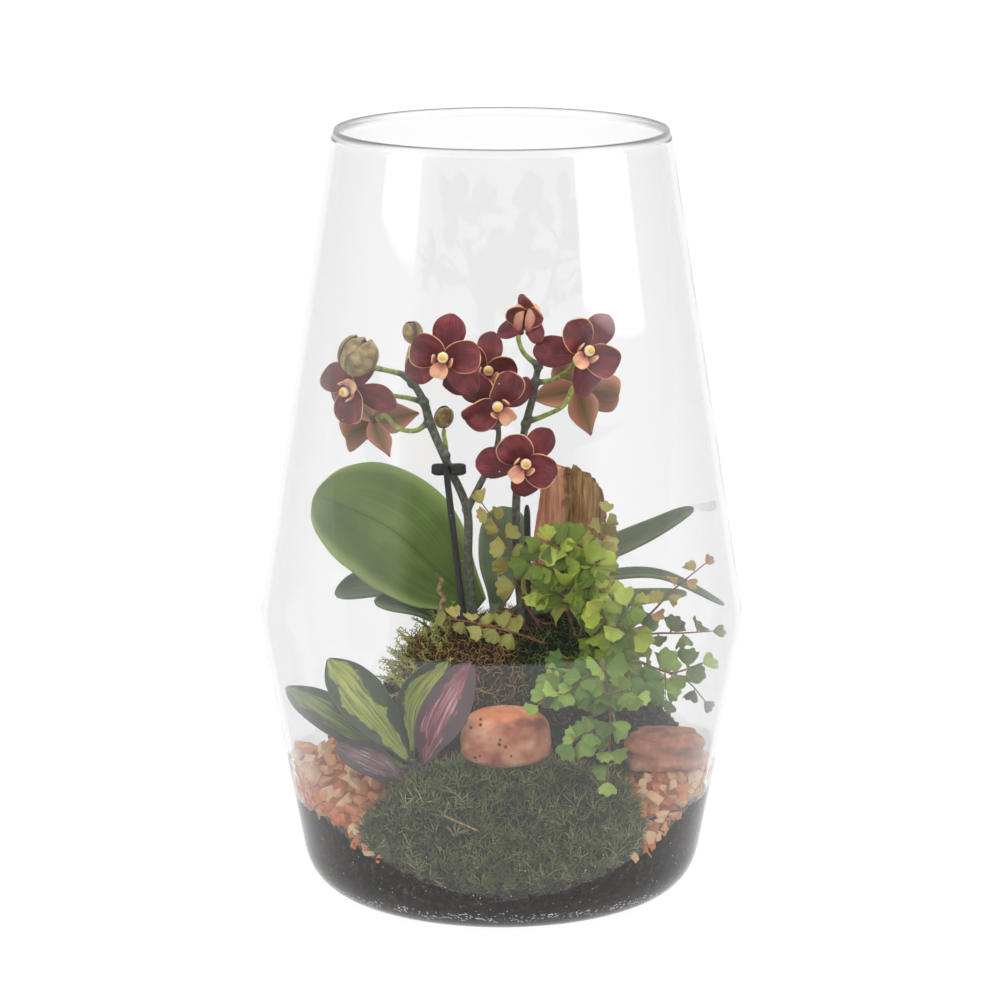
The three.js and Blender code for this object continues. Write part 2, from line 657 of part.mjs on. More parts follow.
// The waxy variegated plant at the left front: broad pointed leaves from one short stem
const pointed = [[0, 0.14], [0.15, 0.4], [0.35, 0.86], [0.56, 1], [0.78, 0.78], [0.93, 0.38], [1, 0.08]];
const waxyStemFoot = [-44, -56, 60];
const waxyLeaves = [
  { name: 'waxy_leaf_far_left', start: [-50, -54.5, 77], middle: [-80, -46, 97], tip: [-111, -28, 113], half: 11.5,
    faces: [0.25, -0.7, 0.66] },
  { name: 'waxy_leaf_left', start: [-48, -58.5, 83], middle: [-68, -56, 109], tip: [-89, -38, 130], half: 13.5,
    faces: [0.25, -0.85, 0.45] },
  { name: 'waxy_leaf_middle', start: [-46, -51, 85], middle: [-45, -48, 108], tip: [-27, -44, 131], half: 10.5,
    faces: [0.1, -0.97, 0.2] },
  { name: 'waxy_leaf_right', start: [-39.5, -61, 81], middle: [-31, -74, 110], tip: [-16, -72, 138], half: 13,
    faces: [0.2, -0.95, -0.15] },
  { name: 'waxy_leaf_front', start: [-50, -62.5, 73], middle: [-66, -69, 85], tip: [-84, -66, 92], half: 9,
    faces: [0.1, -0.8, 0.6] },
];

function waxyLeaf({ start, middle, tip, half, faces }) {
  return blade({ points: [start, middle, tip], outline: widened(pointed, half), faces, cup: 0.24 });
}

const waxyStem = stem([waxyStemFoot, [-44.5, -56, 72], [-45, -56, 82]], [3, 3.4, 2], 7, 3);

// The fern: thin wiry stalks with fan-shaped leaflets set by turns on either side
const fronds = [
  { name: 'frond_young', points: [[22, -14, 138], [9, -13, 160], [1, -13, 190], [-10, -14, 207]], count: 11, size: 11.5, faces: [0, -1, 0.1] },
  { name: 'frond_tall', points: [[40, -20, 138], [46, -19, 156], [51, -9, 178], [54, 0, 199]], count: 10, size: 12, faces: [0.1, -0.9, 0.3] },
  { name: 'frond_middle', points: [[38, -24, 139], [34, -28, 155], [33, -28, 172], [36, -26, 188]], count: 9, size: 15, faces: [0, -0.95, 0.3] },
  { name: 'frond_red_right', points: [[50, -22, 136], [72, -32, 149], [88, -34, 166], [104, -34, 180]], count: 9, size: 8.5, faces: [0.2, -0.8, 0.5] },
  { name: 'frond_right', points: [[60, -4, 128], [78, -24, 140], [92, -34, 143], [108, -34, 144]], count: 7, size: 11, faces: [0.1, -0.8, 0.6] },
  { name: 'frond_right_front', points: [[50, -25, 126], [66, -45, 132], [86, -52, 127], [102, -48, 131]], count: 7, size: 14, faces: [0.1, -0.9, 0.4] },
  { name: 'frond_right_low', points: [[60, 2, 122], [80, -4, 116], [96, -10, 112], [106, -16, 102]], count: 6, size: 11, faces: [0.2, -0.8, 0.5] },
  { name: 'frond_hanging', points: [[38, -35, 132], [50, -66, 134], [54, -84, 118], [53, -90, 80]], count: 10, size: 13.5, faces: [0.1, -0.95, 0.3] },
  { name: 'frond_front', points: [[30, -36, 130], [38, -56, 133], [32, -72, 127], [18, -82, 118]], count: 8, size: 13, faces: [0, -0.85, 0.5] },
  { name: 'frond_middle_low', points: [[42, -30, 136], [52, -48, 146], [58, -56, 152], [66, -60, 150]], count: 8, size: 14, faces: [0, -0.9, 0.4] },
  { name: 'frond_creeping', points: [[22, -32, 137], [4, -42, 146], [-12, -42, 150], [-28, -38, 152]], count: 10, size: 10, faces: [0, -0.75, 0.65] },
];
const frondStalk = 0.85;
const leafletOutline = [[0, 0.04], [0.72, 0.5], [1, 0.36]];

function leaflet(at, away, faces, size) {
  const droop = V(0, 0, -0.12 * size);
  const end = at.clone().addScaledVector(away, size).add(droop);
  const middle = at.clone().addScaledVector(away, size * 0.5);
  return solid(
    blade({
      points: [at.toArray(), middle.toArray(), end.toArray()],
      outline: widened(leafletOutline, size),
      faces: faces.toArray(),
      thickness: 0.7,
      midrib: false,
    }),
  );
}

// Each leaflet turns on the stalk until it is clear of what stands there already, or is left out
const turnsToTry = [0, 25, -25, 50, -50, 80, -80];

function frond({ points, count, size, faces }, seed, neighbours) {
  const draw = random(seed);
  const curve = new THREE.CatmullRomCurve3(vectors(points));
  const face = V(...faces).normalize();
  let body = solid(stem(points, [frondStalk, frondStalk * 0.9, frondStalk * 0.8], 3, 6));
  for (let i = 0; i < count; i++) {
    const u = lerp(0.3, 0.985, i / (count - 1));
    const at = curve.getPointAt(u);
    const along = curve.getTangentAt(u);
    const side = V(0, 0, 0).crossVectors(face, along).normalize();
    const last = i === count - 1;
    const sign = last ? 0 : i % 2 ? 1 : -1;
    const away = side.multiplyScalar(sign).addScaledVector(along, last ? 1 : 0.45).normalize();
    const length = size * lerp(1, 0.66, i / count) * (0.88 + 0.24 * draw());
    const twist = (draw() - 0.5) * 40;
    for (const turn of turnsToTry) {
      const turned = away.clone().applyAxisAngle(along, radians(turn + twist));
      const looks = face.clone().applyAxisAngle(along, radians(turn + twist));
      const probe = leaflet(at, turned, looks, length * 1.08).subtract(body);
      if (neighbours.every((other) => other.intersect(probe).volume() < 1e-3)) {
        body = body.add(leaflet(at, turned, looks, length));
        break;
      }
    }
  }
  return largest(body);
}

// A plain hole for what stands in the soil or in the ball of moss
const hole = (points, radius) => solid(stem(points, [radius + gap, radius + gap], 8, 2));

// Assembly
const part = new THREE.Group();
const made = new Map();

function place(name, body, finish) {
  const inRoom = name === 'glass_vase' ? body : largest(body.intersect(insideOfGlass)).simplify(0.15);
  made.set(name, inRoom);
  const mesh = new THREE.Mesh(geometryOf(inRoom), finish);
  mesh.name = name;
  part.add(mesh);
}

place('glass_vase', solid(glassVase()), materials.glass);

const leftStem = leftFlowerStem();
const rightStem = rightFlowerStem();
place('flower_stem_left', leftStem, materials.stem);
place('flower_stem_right', rightStem, materials.stem);
place('stake_left', solid(stick(stakes.left, stakeRadius)), materials.stake);
place('stake_right', solid(stick(stakes.right, stakeRadius)), materials.stake);
place('stem_clip', stemClip(leftStem), materials.stake);

for (const flower of flowers) {
  place('bloom_' + flower.name, tepalRing(flower), materials.tepal);
  place('lip_' + flower.name, lipAndColumn(flower), materials.lip);
}
for (const bud of buds) place(bud.name, solid(budShape(bud)), materials.bud);

place('orchid_crown', crown(), materials.orchidLeaf);
for (const { name, ...shape } of orchidLeaves) {
  place(name, orchidLeaf(shape), materials.orchidLeaf);
}

const barkRoom = solid(barkChunk(2 * gap));
place('bark_chunk', solid(barkChunk()), materials.bark);

place('river_pebble', solid(stone(riverPebble)), materials.pebble);
place('layered_rock', solid(layeredRock(rockPlace, rockHalf)), materials.rock);
const rockRoom = solid(layeredRock(rockPlace, rockHalf, gap));
const pebbleRoom = solid(stone({ ...riverPebble, half: riverPebble.half.map((h) => h + gap) }));

const waxyHole = hole([[-44, -56, 58], [-45, -56, 120]], 4);
place('waxy_stem', solid(waxyStem), materials.variegated);
for (const leaf of waxyLeaves) place(leaf.name, solid(waxyLeaf(leaf)), materials.variegated);

const cushionBody = solid(lump(cushion)).subtract(pebbleRoom).subtract(waxyHole);
place('moss_cushion', largest(cushionBody), materials.moss);

const cushionRoom = bed(cushion, gap);
const chipsLeft = chipBed(leftChips, 11, 18, 6).subtract(cushionRoom).subtract(waxyHole);
const chipsRight = chipBed(rightChips, 37, 18, 6).subtract(cushionRoom).subtract(rockRoom);
place('gravel_left', chipsLeft, materials.chips);
place('gravel_right', chipsRight, materials.chips);

// The ball of moss, with a hole for each thing that stands in it
const inTheBall = [
  hole([[-13.5, -10, 100], [-15, -10, 165]], 3),
  hole([[11, -7, 100], [10.6, -6.8, 165]], 3),
  hole([[-3, 4, 110], [-2.5, 4.5, 165]], 8.5),
  hole([stakes.left.foot, stakes.left.top], 2.3),
  hole([stakes.right.foot, stakes.right.top], 2.3),
  ...orchidLeaves.map((leaf) => orchidLeaf(leaf, gap)),
  ...fronds.map(({ points }) => hole(points.slice(0, 2), frondStalk)),
  barkRoom,
];
place('root_ball', inTheBall.reduce((body, room) => body.subtract(room), solid(lump(rootBall))), materials.bogMoss);

// The soil, cleared for everything that lies or stands in it
const soilPatch = { centre: [0, 0], half: [122, 122], bottom: () => 0, height: soilHeight, sides: 24, rings: 6 };
const inTheSoil = [cushionRoom, bed(leftChips, gap), bed(rightChips, gap), rockRoom, pebbleRoom, waxyHole];
const soilBody = solid(lump(soilPatch)).intersect(insideOfGlass);
place('soil', inTheSoil.reduce((body, room) => body.subtract(room), soilBody), materials.soil);

const neighbours = [...made.values()];
fronds.forEach((shape, i) => {
  const body = frond(shape, 101 + i, neighbours);
  place(shape.name, body, materials.fern);
  neighbours.push(body);
});

export default part;
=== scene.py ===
# %% [markdown]
# # A moth orchid in a planted glass vase
# A dwarf moth orchid with maroon flowers stands in a ball of bog moss. Round it lie a moss cushion, two
# stones and orange chips on dark soil, with a waxy variegated plant and a fern, all inside one tall blown
# vase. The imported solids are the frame: they say where each thing stands and how large it is. This lesson
# puts a finer piece in the place of each of them, and gives it the finish of the real thing.

# %% The frame
import math
import bpy
import numpy as np
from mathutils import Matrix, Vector, noise


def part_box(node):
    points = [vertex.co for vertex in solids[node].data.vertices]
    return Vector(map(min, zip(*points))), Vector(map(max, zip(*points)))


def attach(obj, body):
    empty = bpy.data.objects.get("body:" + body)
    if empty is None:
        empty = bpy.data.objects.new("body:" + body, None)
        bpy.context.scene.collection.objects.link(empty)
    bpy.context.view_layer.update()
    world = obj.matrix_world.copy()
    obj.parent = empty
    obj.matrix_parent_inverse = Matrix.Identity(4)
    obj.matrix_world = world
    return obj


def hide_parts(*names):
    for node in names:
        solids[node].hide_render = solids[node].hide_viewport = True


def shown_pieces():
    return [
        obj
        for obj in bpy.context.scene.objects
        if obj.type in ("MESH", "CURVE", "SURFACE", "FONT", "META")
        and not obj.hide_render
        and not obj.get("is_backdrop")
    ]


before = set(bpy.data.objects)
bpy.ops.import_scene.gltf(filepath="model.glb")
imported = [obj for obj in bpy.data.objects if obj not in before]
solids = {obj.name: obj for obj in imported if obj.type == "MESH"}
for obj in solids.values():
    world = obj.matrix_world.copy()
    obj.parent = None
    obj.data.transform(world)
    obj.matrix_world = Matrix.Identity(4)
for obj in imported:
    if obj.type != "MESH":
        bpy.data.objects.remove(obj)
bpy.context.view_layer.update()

mm = 0.001

# %% [markdown]
# ## Camera, floor and light
# The camera stands two metres away and a little above the vase, as a product photographer's does, so that
# the walls stay nearly upright. Glass is seen only by what it mirrors and bends. So the studio is planned
# for the glass first: a white table, whose mirror image hazes the lower wall, a dark room in front, which
# greys the upper wall, and a tall soft light on either side, whose mirror images are the two white strips.

# %% Camera
look_down = 12.515
bpy.ops.object.camera_add(
    location=(-0.0008, -2.0757, 0.6663), rotation=(math.radians(90 - look_down), 0, 0)
)
camera = bpy.context.object
camera.data.lens = 147.26
camera.data.sensor_width = 36
camera.data.clip_end = 100
bpy.context.scene.camera = camera
# Light runs round inside the wall of a vase, so it is followed further than usual.
bpy.context.scene.cycles.max_bounces = 40
bpy.context.scene.cycles.transmission_bounces = 40
bpy.context.scene.cycles.glossy_bounces = 16
bpy.context.scene.view_settings.view_transform = "Standard"
print("camera lens:", camera.data.lens, "mm")


# %% Adding nodes and naming colours
# Settings and outputs that come back again and again: the attributes of strewn copies, a smooth step
# between two values, the arithmetic, and the numbers of the outputs for an object's own places, an
# attribute and a mix.
TONE, RISE = {"attribute_name": "tone"}, {"attribute_name": "rise"}
SMOOTH, MIX_COLOURS = {"interpolation_type": "SMOOTHSTEP"}, {"data_type": "RGBA"}
ADD, SUBTRACT, MULTIPLY, MULTIPLY_ADD, MAXIMUM, ABSOLUTE = (
    {"operation": name} for name in ("ADD", "SUBTRACT", "MULTIPLY", "MULTIPLY_ADD", "MAXIMUM", "ABSOLUTE")
)
OWN_PLACE, FACTOR, MIXED = 3, 2, 2


def add(tree, kind, settings=None, out=0, **inputs):
    """Adds a node with its settings and links. An input named _3 is the node's input number 3.

    The setting "stops" holds the colours along a scale, each given as (place, hex).
    """
    made = tree.nodes.new("ShaderNode" + kind)
    for field, value in (settings or {}).items():
        if field == "stops":
            elements = made.color_ramp.elements
            for _ in value[2:]:
                elements.new(0.5)
            for element, (place, code) in zip(elements, value):
                element.position, element.color = place, colour(code)
        else:
            setattr(made, field, value)
    for name, value in inputs.items():
        socket = made.inputs[int(name[1:]) if name[0] == "_" else name.replace("_", " ")]
        if isinstance(value, bpy.types.NodeSocket):
            tree.links.new(value, socket)
        else:
            socket.default_value = value
    return made if out is None else made.outputs[out]


def colour(code):
    """A hex colour as the eye names it, turned to the linear numbers that light adds up in."""
    parts = [int(code[i : i + 2], 16) / 255 for i in (0, 2, 4)]
    return (*[v / 12.92 if v <= 0.04045 else ((v + 0.055) / 1.055) ** 2.4 for v in parts], 1.0)


def new_finish(name, **plain):
    """A material whose plain values are set on the shader's own sockets."""
    material = bpy.data.materials.new(name)
    material.use_nodes = True
    shader = material.node_tree.nodes["Principled BSDF"]
    for socket, value in plain.items():
        shader.inputs[socket.replace("_", " ")].default_value = value
    return material, material.node_tree, shader


def wire(shader, **links):
    """Feeds sockets of the shader from other nodes."""
    for socket, value in links.items():
        shader.id_data.links.new(value, shader.inputs[socket.replace("_", " ")])


print("white in linear light:", colour("ffffff"))

# %% Floor
# A white light table: it glows by itself and throws little back, so it stays white right up to the vase.
bpy.ops.object.select_all(action="DESELECT")
bpy.ops.mesh.primitive_plane_add(size=30, location=(0, 0, -0.0004))
floor = bpy.context.object
floor.name = "floor"
table, tree, shader = new_finish("white_light_table", Roughness=1.0, Emission_Strength=0.96)
shader.inputs["Base Color"].default_value = (0.07, 0.07, 0.07, 1)
shader.inputs["Specular IOR Level"].default_value = 0.0
shader.inputs["Emission Color"].default_value = colour("ffffff")
floor.data.materials.append(table)
floor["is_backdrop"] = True
print("floor:", floor.dimensions[:])

# %% The room
# Below the horizon the room is as white as the table. Above it, the side walls are white too, the part
# behind the camera is dark, and the ceiling is one large soft light. The two soft boxes are windows in this
# room, each a span of compass angles from its lower edge upwards; their angles were worked out backwards
# from the white strips on the glass. The compass reads 0 toward the camera, and grows to the right.
world = bpy.data.worlds.new("studio")
bpy.context.scene.world = world
world.use_nodes = True
tree = world.node_tree
tree.nodes.clear()
look = add(tree, "SeparateXYZ", out=None, Vector=add(tree, "TexCoord", out=0))
toward_camera = add(tree, "Math", MULTIPLY, _0=look.outputs["Y"], _1=-1.0)
compass = add(tree, "Math", {"operation": "ARCTAN2"}, _0=look.outputs["X"], _1=toward_camera)
aside = add(tree, "Math", ABSOLUTE, _0=compass)


def window(angles, slant, edge, brightness):
    """A soft box between two compass angles in degrees. Its lower edge slants with the compass, and fades."""
    left, right = (math.radians(v) for v in angles)
    soft = 0.02
    opens = add(tree, "MapRange", SMOOTH, Value=compass, _1=left - soft, _2=left + soft, _3=0.0, _4=1.0)
    closes = add(tree, "MapRange", SMOOTH, Value=compass, _1=right - soft, _2=right + soft, _3=1.0, _4=0.0)
    shut_above = add(tree, "MapRange", SMOOTH, Value=look.outputs["Z"], _1=0.55, _2=0.62, _3=1.0, _4=0.0)
    slanted = add(tree, "Math", MULTIPLY_ADD, _0=compass, _1=slant, _2=look.outputs["Z"])
    lit = add(tree, "MapRange", SMOOTH, Value=slanted, _1=edge[0], _2=edge[1], _3=0.0, _4=brightness)
    for mask in (opens, closes, shut_above):
        lit = add(tree, "Math", MULTIPLY, _0=lit, _1=mask)
    return lit


dark_front, white_side, dark_ends_at, white_from = 0.14, 0.80, math.radians(42), math.radians(58)
walls = add(
    tree, "MapRange", SMOOTH, Value=aside, _1=dark_ends_at, _2=white_from, _3=dark_front, _4=white_side
)
back_wall = add(tree, "MapRange", SMOOTH, Value=aside, _1=1.6, _2=2.2, _3=0.0, _4=0.2)
ceiling = add(tree, "MapRange", SMOOTH, Value=look.outputs["Z"], _1=0.20, _2=0.60, _3=0.0, _4=1.15)
left_box = window((-83, -55), -0.063, (0.166, 0.180), 3.2)
right_box = window((50, 92), 0.1, (0.193, 0.201), 3.4)
below = add(tree, "MapRange", SMOOTH, Value=look.outputs["Z"], _1=-0.03, _2=0.0, _3=1.0, _4=0.0)
brightest = add(tree, "Math", ADD, _0=walls, _1=back_wall)
for part in (ceiling, left_box, right_box, below):
    brightest = add(tree, "Math", MAXIMUM, _0=brightest, _1=part)
glow = add(tree, "Background", Color=(1, 1, 1, 1), Strength=brightest)
add(tree, "OutputWorld", out=None, Surface=glow)


# %% Fill lights
def soft_light(name, place, aim, size, power):
    """A large soft lamp that mirrors don't show, as if it stood behind a polarising screen."""
    bpy.ops.object.light_add(type="AREA", location=place)
    light = bpy.context.object
    light.name = name
    light.rotation_euler = (Vector(aim) - Vector(place)).to_track_quat("-Z", "Y").to_euler()
    light.data.shape = "RECTANGLE"
    light.data.size, light.data.size_y = size
    light.data.energy = power
    light.visible_glossy = light.visible_transmission = light.visible_camera = False


soft_light("front_fill", (-0.5, -2.4, 1.7), (0, 0, 0.2), (1.6, 1.2), 30)
soft_light("top_key", (0.3, -0.2, 2.4), (0, 0, 0.2), (1.2, 1.2), 22)

# %% [markdown]
# ## Tools of the bench
# Leaves and petals begin as a flat grid, stalks as a cylinder with many cuts, stones as a ball. Each is
# then shaped point by point along a smooth line, because a plant follows a curve and not a box. The solids
# were drawn with the same smooth line, so a piece made with it lands where its solid is. All shaping is in
# millimetres.


# %% Selecting and shaping
def use(piece):
    """Only this piece is selected, because an operator acts on all that is."""
    bpy.ops.object.select_all(action="DESELECT")
    piece.select_set(True)
    bpy.context.view_layer.objects.active = piece
    return piece


def points_of(piece):
    places = np.empty(len(piece.data.vertices) * 3, np.float32)
    piece.data.vertices.foreach_get("co", places)
    return places.reshape(-1, 3).astype(float)


def move_points(piece, places):
    """Moves every point to its place in millimetres."""
    piece.data.vertices.foreach_set("co", (np.asarray(places) * mm).astype(np.float32).ravel())
    piece.data.update()
    return piece


def modify(piece, kind, **settings):
    """Adds a modifier and applies it."""
    use(piece)
    modifier = piece.modifiers.new(kind.title(), kind)
    for field, value in settings.items():
        setattr(modifier, field, value)
    bpy.ops.object.modifier_apply(modifier=modifier.name)
    return piece


def join(pieces):
    use(pieces[0])
    for piece in pieces[1:]:
        piece.select_set(True)
    if len(pieces) > 1:
        bpy.ops.object.join()
    return pieces[0]


def hand_over(piece, name, slot, *replaced, angle=180):
    """Names a finished piece, smooths its shading, and puts it in the place of its solids."""
    use(piece)
    piece.name = piece.data.name = name
    bpy.ops.object.shade_smooth_by_angle(angle=math.radians(angle))
    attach(piece, "root")
    if replaced:
        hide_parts(*replaced)
    count = len(piece.data.loops) - 2 * len(piece.data.polygons)
    print(name, "triangles:", count)
    return piece


def set_tone(piece, values):
    """Each point's tone is read by the finishes, to mix their colours."""
    attribute = piece.data.attributes.new("tone", "FLOAT", "POINT")
    attribute.data.foreach_set("value", np.asarray(values, np.float32))


def smoothstep(x, low, high):
    t = np.clip((np.asarray(x, float) - low) / (high - low), 0, 1)
    return t * t * (3 - 2 * t)


def lerp(a, b, t):
    return a + (b - a) * t


def unit(v):
    v = np.asarray(v, float)
    return v / np.maximum(np.linalg.norm(v, axis=-1, keepdims=True), 1e-12)


def smooth_line(points, shares):
    """Places and directions on the smooth line through some points, at shares of its length."""
    p = np.array(points, float)
    ends = np.vstack([2 * p[0] - p[1], p, 2 * p[-1] - p[-2]])
    t = np.linspace(0, 1, 48, endpoint=False)[:, None]
    dense = []
    for a, b, c, d in zip(ends, ends[1:], ends[2:], ends[3:]):
        ab, bc, cd = (np.linalg.norm(q - w) ** 0.5 for q, w in ((a, b), (b, c), (c, d)))
        m = ((b - a) / ab - (c - a) / (ab + bc) + (c - b) / bc) * bc
        n = ((c - b) / bc - (d - b) / (bc + cd) + (d - c) / cd) * bc
        dense.append(b + m * t + (3 * (c - b) - 2 * m - n) * t**2 + (2 * (b - c) + m + n) * t**3)
    dense = np.vstack([*dense, p[-1:]])
    length = np.concatenate([[0], np.cumsum(np.linalg.norm(np.diff(dense, axis=0), axis=1))])
    wanted = np.clip(shares, 0, 1) * length[-1]
    ways = unit(np.gradient(dense, axis=0))
    return (
        np.stack([np.interp(wanted, length, dense[:, k]) for k in range(p.shape[1])], axis=-1),
        unit(np.stack([np.interp(wanted, length, ways[:, k]) for k in range(p.shape[1])], axis=-1)),
    )


def outline_at(outline, shares):
    """The half width of a leaf at shares of its length, on a smooth line through its outline's points."""
    line, _ = smooth_line([(u, h, 0) for u, h in outline], np.linspace(0, 1, 120))
    return np.interp(shares, line[:, 0], line[:, 1])


print("half way along a quarter turn:", smooth_line([(0, 0, 0), (7, 3, 0), (10, 10, 0)], [0.5])[0].round(2))


# %% Sheets, stalks and balls
def sheet(columns, rows, place):
    """A flat grid whose points move to place(across, along): across from -1 to 1, along from 0 to 1."""
    bpy.ops.object.select_all(action="DESELECT")
    bpy.ops.mesh.primitive_grid_add(x_subdivisions=columns, y_subdivisions=rows, size=2)
    made = bpy.context.object
    flat = points_of(made)
    return move_points(made, place(flat[:, 0], (flat[:, 1] + 1) / 2))


def leaf_form(points, outline, half, faces, faces_tip=None, cup=0.0, relief=None):
    """How a flat grid becomes a leaf: laid along a line, with an outline, cupped, and twisted."""
    facing, facing_tip = unit(faces), unit(faces if faces_tip is None else faces_tip)

    def place(a, t):
        shares = lerp(t, np.sin(t * math.pi / 2), 0.55)
        centres, along = smooth_line(points, shares)
        normal = facing + (facing_tip - facing) * shares[:, None]
        normal = unit(normal - along * np.sum(normal * along, axis=1, keepdims=True))
        reach = outline_at(outline, shares) * half
        height = cup * reach * a * a + (0 if relief is None else relief(a, shares, reach))
        return centres + np.cross(along, normal) * (a * reach)[:, None] + normal * height[:, None]

    return place


def thicken(piece, thickness, finishes=(), levels=1):
    """Gives a sheet its thickness and rounds it. Its back and its rim may take finishes of their own."""
    for finish in finishes:
        piece.data.materials.append(finish)
    back, rim = (1 if len(finishes) > 1 else 0), (2 if len(finishes) > 2 else 0)
    modify(
        piece, "SOLIDIFY", thickness=thickness * mm, offset=0, material_offset=back, material_offset_rim=rim
    )
    if levels:
        modify(piece, "SUBSURF", levels=levels, render_levels=levels)
    return piece


def tube(points, radii, sides=10, cuts=24, relief=None):
    """A stalk: a cylinder cut across many times, whose rings are set along a smooth line."""
    bpy.ops.object.select_all(action="DESELECT")
    bpy.ops.mesh.primitive_cylinder_add(vertices=sides, radius=1, depth=2, end_fill_type="NGON")
    made = bpy.context.object
    bpy.ops.object.mode_set(mode="EDIT")
    bpy.ops.mesh.select_all(action="DESELECT")
    bpy.ops.mesh.select_mode(type="EDGE")
    bpy.ops.object.mode_set(mode="OBJECT")
    for edge in made.data.edges:
        a, b = (made.data.vertices[i].co.z for i in edge.vertices)
        edge.select = abs(a - b) > 1
    bpy.ops.object.mode_set(mode="EDIT")
    bpy.ops.mesh.subdivide(number_cuts=cuts)
    bpy.ops.mesh.select_mode(type="VERT")
    bpy.ops.object.mode_set(mode="OBJECT")
    flat = points_of(made)
    shares, angle = (flat[:, 2] + 1) / 2, np.arctan2(flat[:, 1], flat[:, 0])
    centres, along = smooth_line(points, shares)
    side = unit(np.cross(along, unit([0.13, 1, 0.21])))
    other = np.cross(along, side)
    radius = np.interp(shares, np.linspace(0, 1, len(radii)), radii)
    if relief is not None:
        radius = radius * relief(shares, angle)
    ring = side * np.cos(angle)[:, None] + other * np.sin(angle)[:, None]
    return move_points(made, centres + ring * radius[:, None])


def ball(detail, place):
    """An icosphere whose points move to place(p), where p is on a ball of radius 1."""
    bpy.ops.object.select_all(action="DESELECT")
    bpy.ops.mesh.primitive_ico_sphere_add(subdivisions=detail, radius=1)
    made = bpy.context.object
    return move_points(made, place(unit(points_of(made))))


def roughness_at(places, size, seed=0.0, octaves=3):
    """Natural unevenness between about -1 and 1, with bumps of the given size in millimetres."""
    shift = Vector((seed * 7.3, seed * 3.1, -seed * 5.7))
    return np.array([noise.fractal(Vector(p) / size + shift, 0.9, 2.0, octaves) for p in places])


def copy_of_solid(node, voxel):
    """A solid's own skin, merged, and remade from even squares of the given size in millimetres."""
    piece = bpy.data.objects.new(node + "_skin", solids[node].data.copy())
    bpy.context.scene.collection.objects.link(piece)
    piece.data.materials.clear()
    use(piece)
    bpy.ops.object.mode_set(mode="EDIT")
    bpy.ops.mesh.select_all(action="SELECT")
    bpy.ops.mesh.remove_doubles(threshold=1e-6)
    bpy.ops.object.mode_set(mode="OBJECT")
    return modify(piece, "REMESH", mode="VOXEL", voxel_size=voxel * mm)


def roughen(piece, depth, size, seed, sink=0.0):
    """Moves the skin in and out by natural unevenness. With sink it mostly moves inwards."""
    places = points_of(piece) / mm
    ways = np.empty(len(places) * 3, np.float32)
    piece.data.vertex_normals.foreach_get("vector", ways)
    swell = roughness_at(places, size, seed) * depth - sink
    return move_points(piece, places + ways.reshape(-1, 3) * swell[:, None])


# %% [markdown]
# ### Strewing
# Moss, chips and crumbs repeat hundreds of times. One small pattern is modelled, read into plain lists, and
# copied over a solid's skin into a single mesh. Each copy carries a tone, a number from 0 to 1, and each of
# its points knows its rise from foot to tip, so one finish can colour them all differently.


# %% Strewing copies
def pattern_of(piece, tall=True):
    """A modelled piece as plain lists, with the rise of each point. The piece itself is removed."""
    mesh, places = piece.data, points_of(piece)
    corners = np.empty(len(mesh.loops), np.int32)
    mesh.loops.foreach_get("vertex_index", corners)
    starts = np.empty(len(mesh.polygons), np.int32)
    mesh.polygons.foreach_get("loop_start", starts)
    measure = places[:, 2 if tall else 1]
    rise = (measure - measure.min()) / max(float(np.ptp(measure)), 1e-9)
    bpy.data.objects.remove(piece)
    return places, corners, starts, rise


def strew(patterns, places, turns, tones, finish):
    """One mesh of many copies: each a pattern, turned by a matrix and moved to its place in mm."""
    points, corners, starts, tone, rise, spots = [], [], [], [], [], []
    first = corner = 0
    for k, (shape, loops, begins, height) in enumerate(patterns):
        chosen = np.arange(k, len(places), len(patterns))
        n = len(chosen)
        if n == 0:
            continue
        moved = np.einsum("nij,vj->nvi", turns[chosen], shape) + places[chosen][:, None, :] * mm
        points.append(moved.reshape(-1, 3))
        corners.append((loops[None, :] + (first + len(shape) * np.arange(n))[:, None]).ravel())
        starts.append((begins[None, :] + (corner + len(loops) * np.arange(n))[:, None]).ravel())
        tone.append(np.repeat(tones[chosen], len(shape)))
        rise.append(np.tile(height, n))
        first += n * len(shape)
        corner += n * len(loops)
    mesh = bpy.data.meshes.new("strewn")
    mesh.vertices.add(first)
    mesh.vertices.foreach_set("co", np.concatenate(points).astype(np.float32).ravel())
    mesh.loops.add(corner)
    mesh.loops.foreach_set("vertex_index", np.concatenate(corners).astype(np.int32))
    begins = np.concatenate(starts).astype(np.int32)
    mesh.polygons.add(len(begins))
    mesh.polygons.foreach_set("loop_start", begins)
    mesh.update(calc_edges=True)
    for name, values in (("tone", tone), ("rise", rise)):
        mesh.attributes.new(name, "FLOAT", "POINT").data.foreach_set(
            "value", np.concatenate(values).astype(np.float32)
        )
    piece = bpy.data.objects.new("strewn", mesh)
    bpy.context.scene.collection.objects.link(piece)
    mesh.materials.append(finish)
    return piece


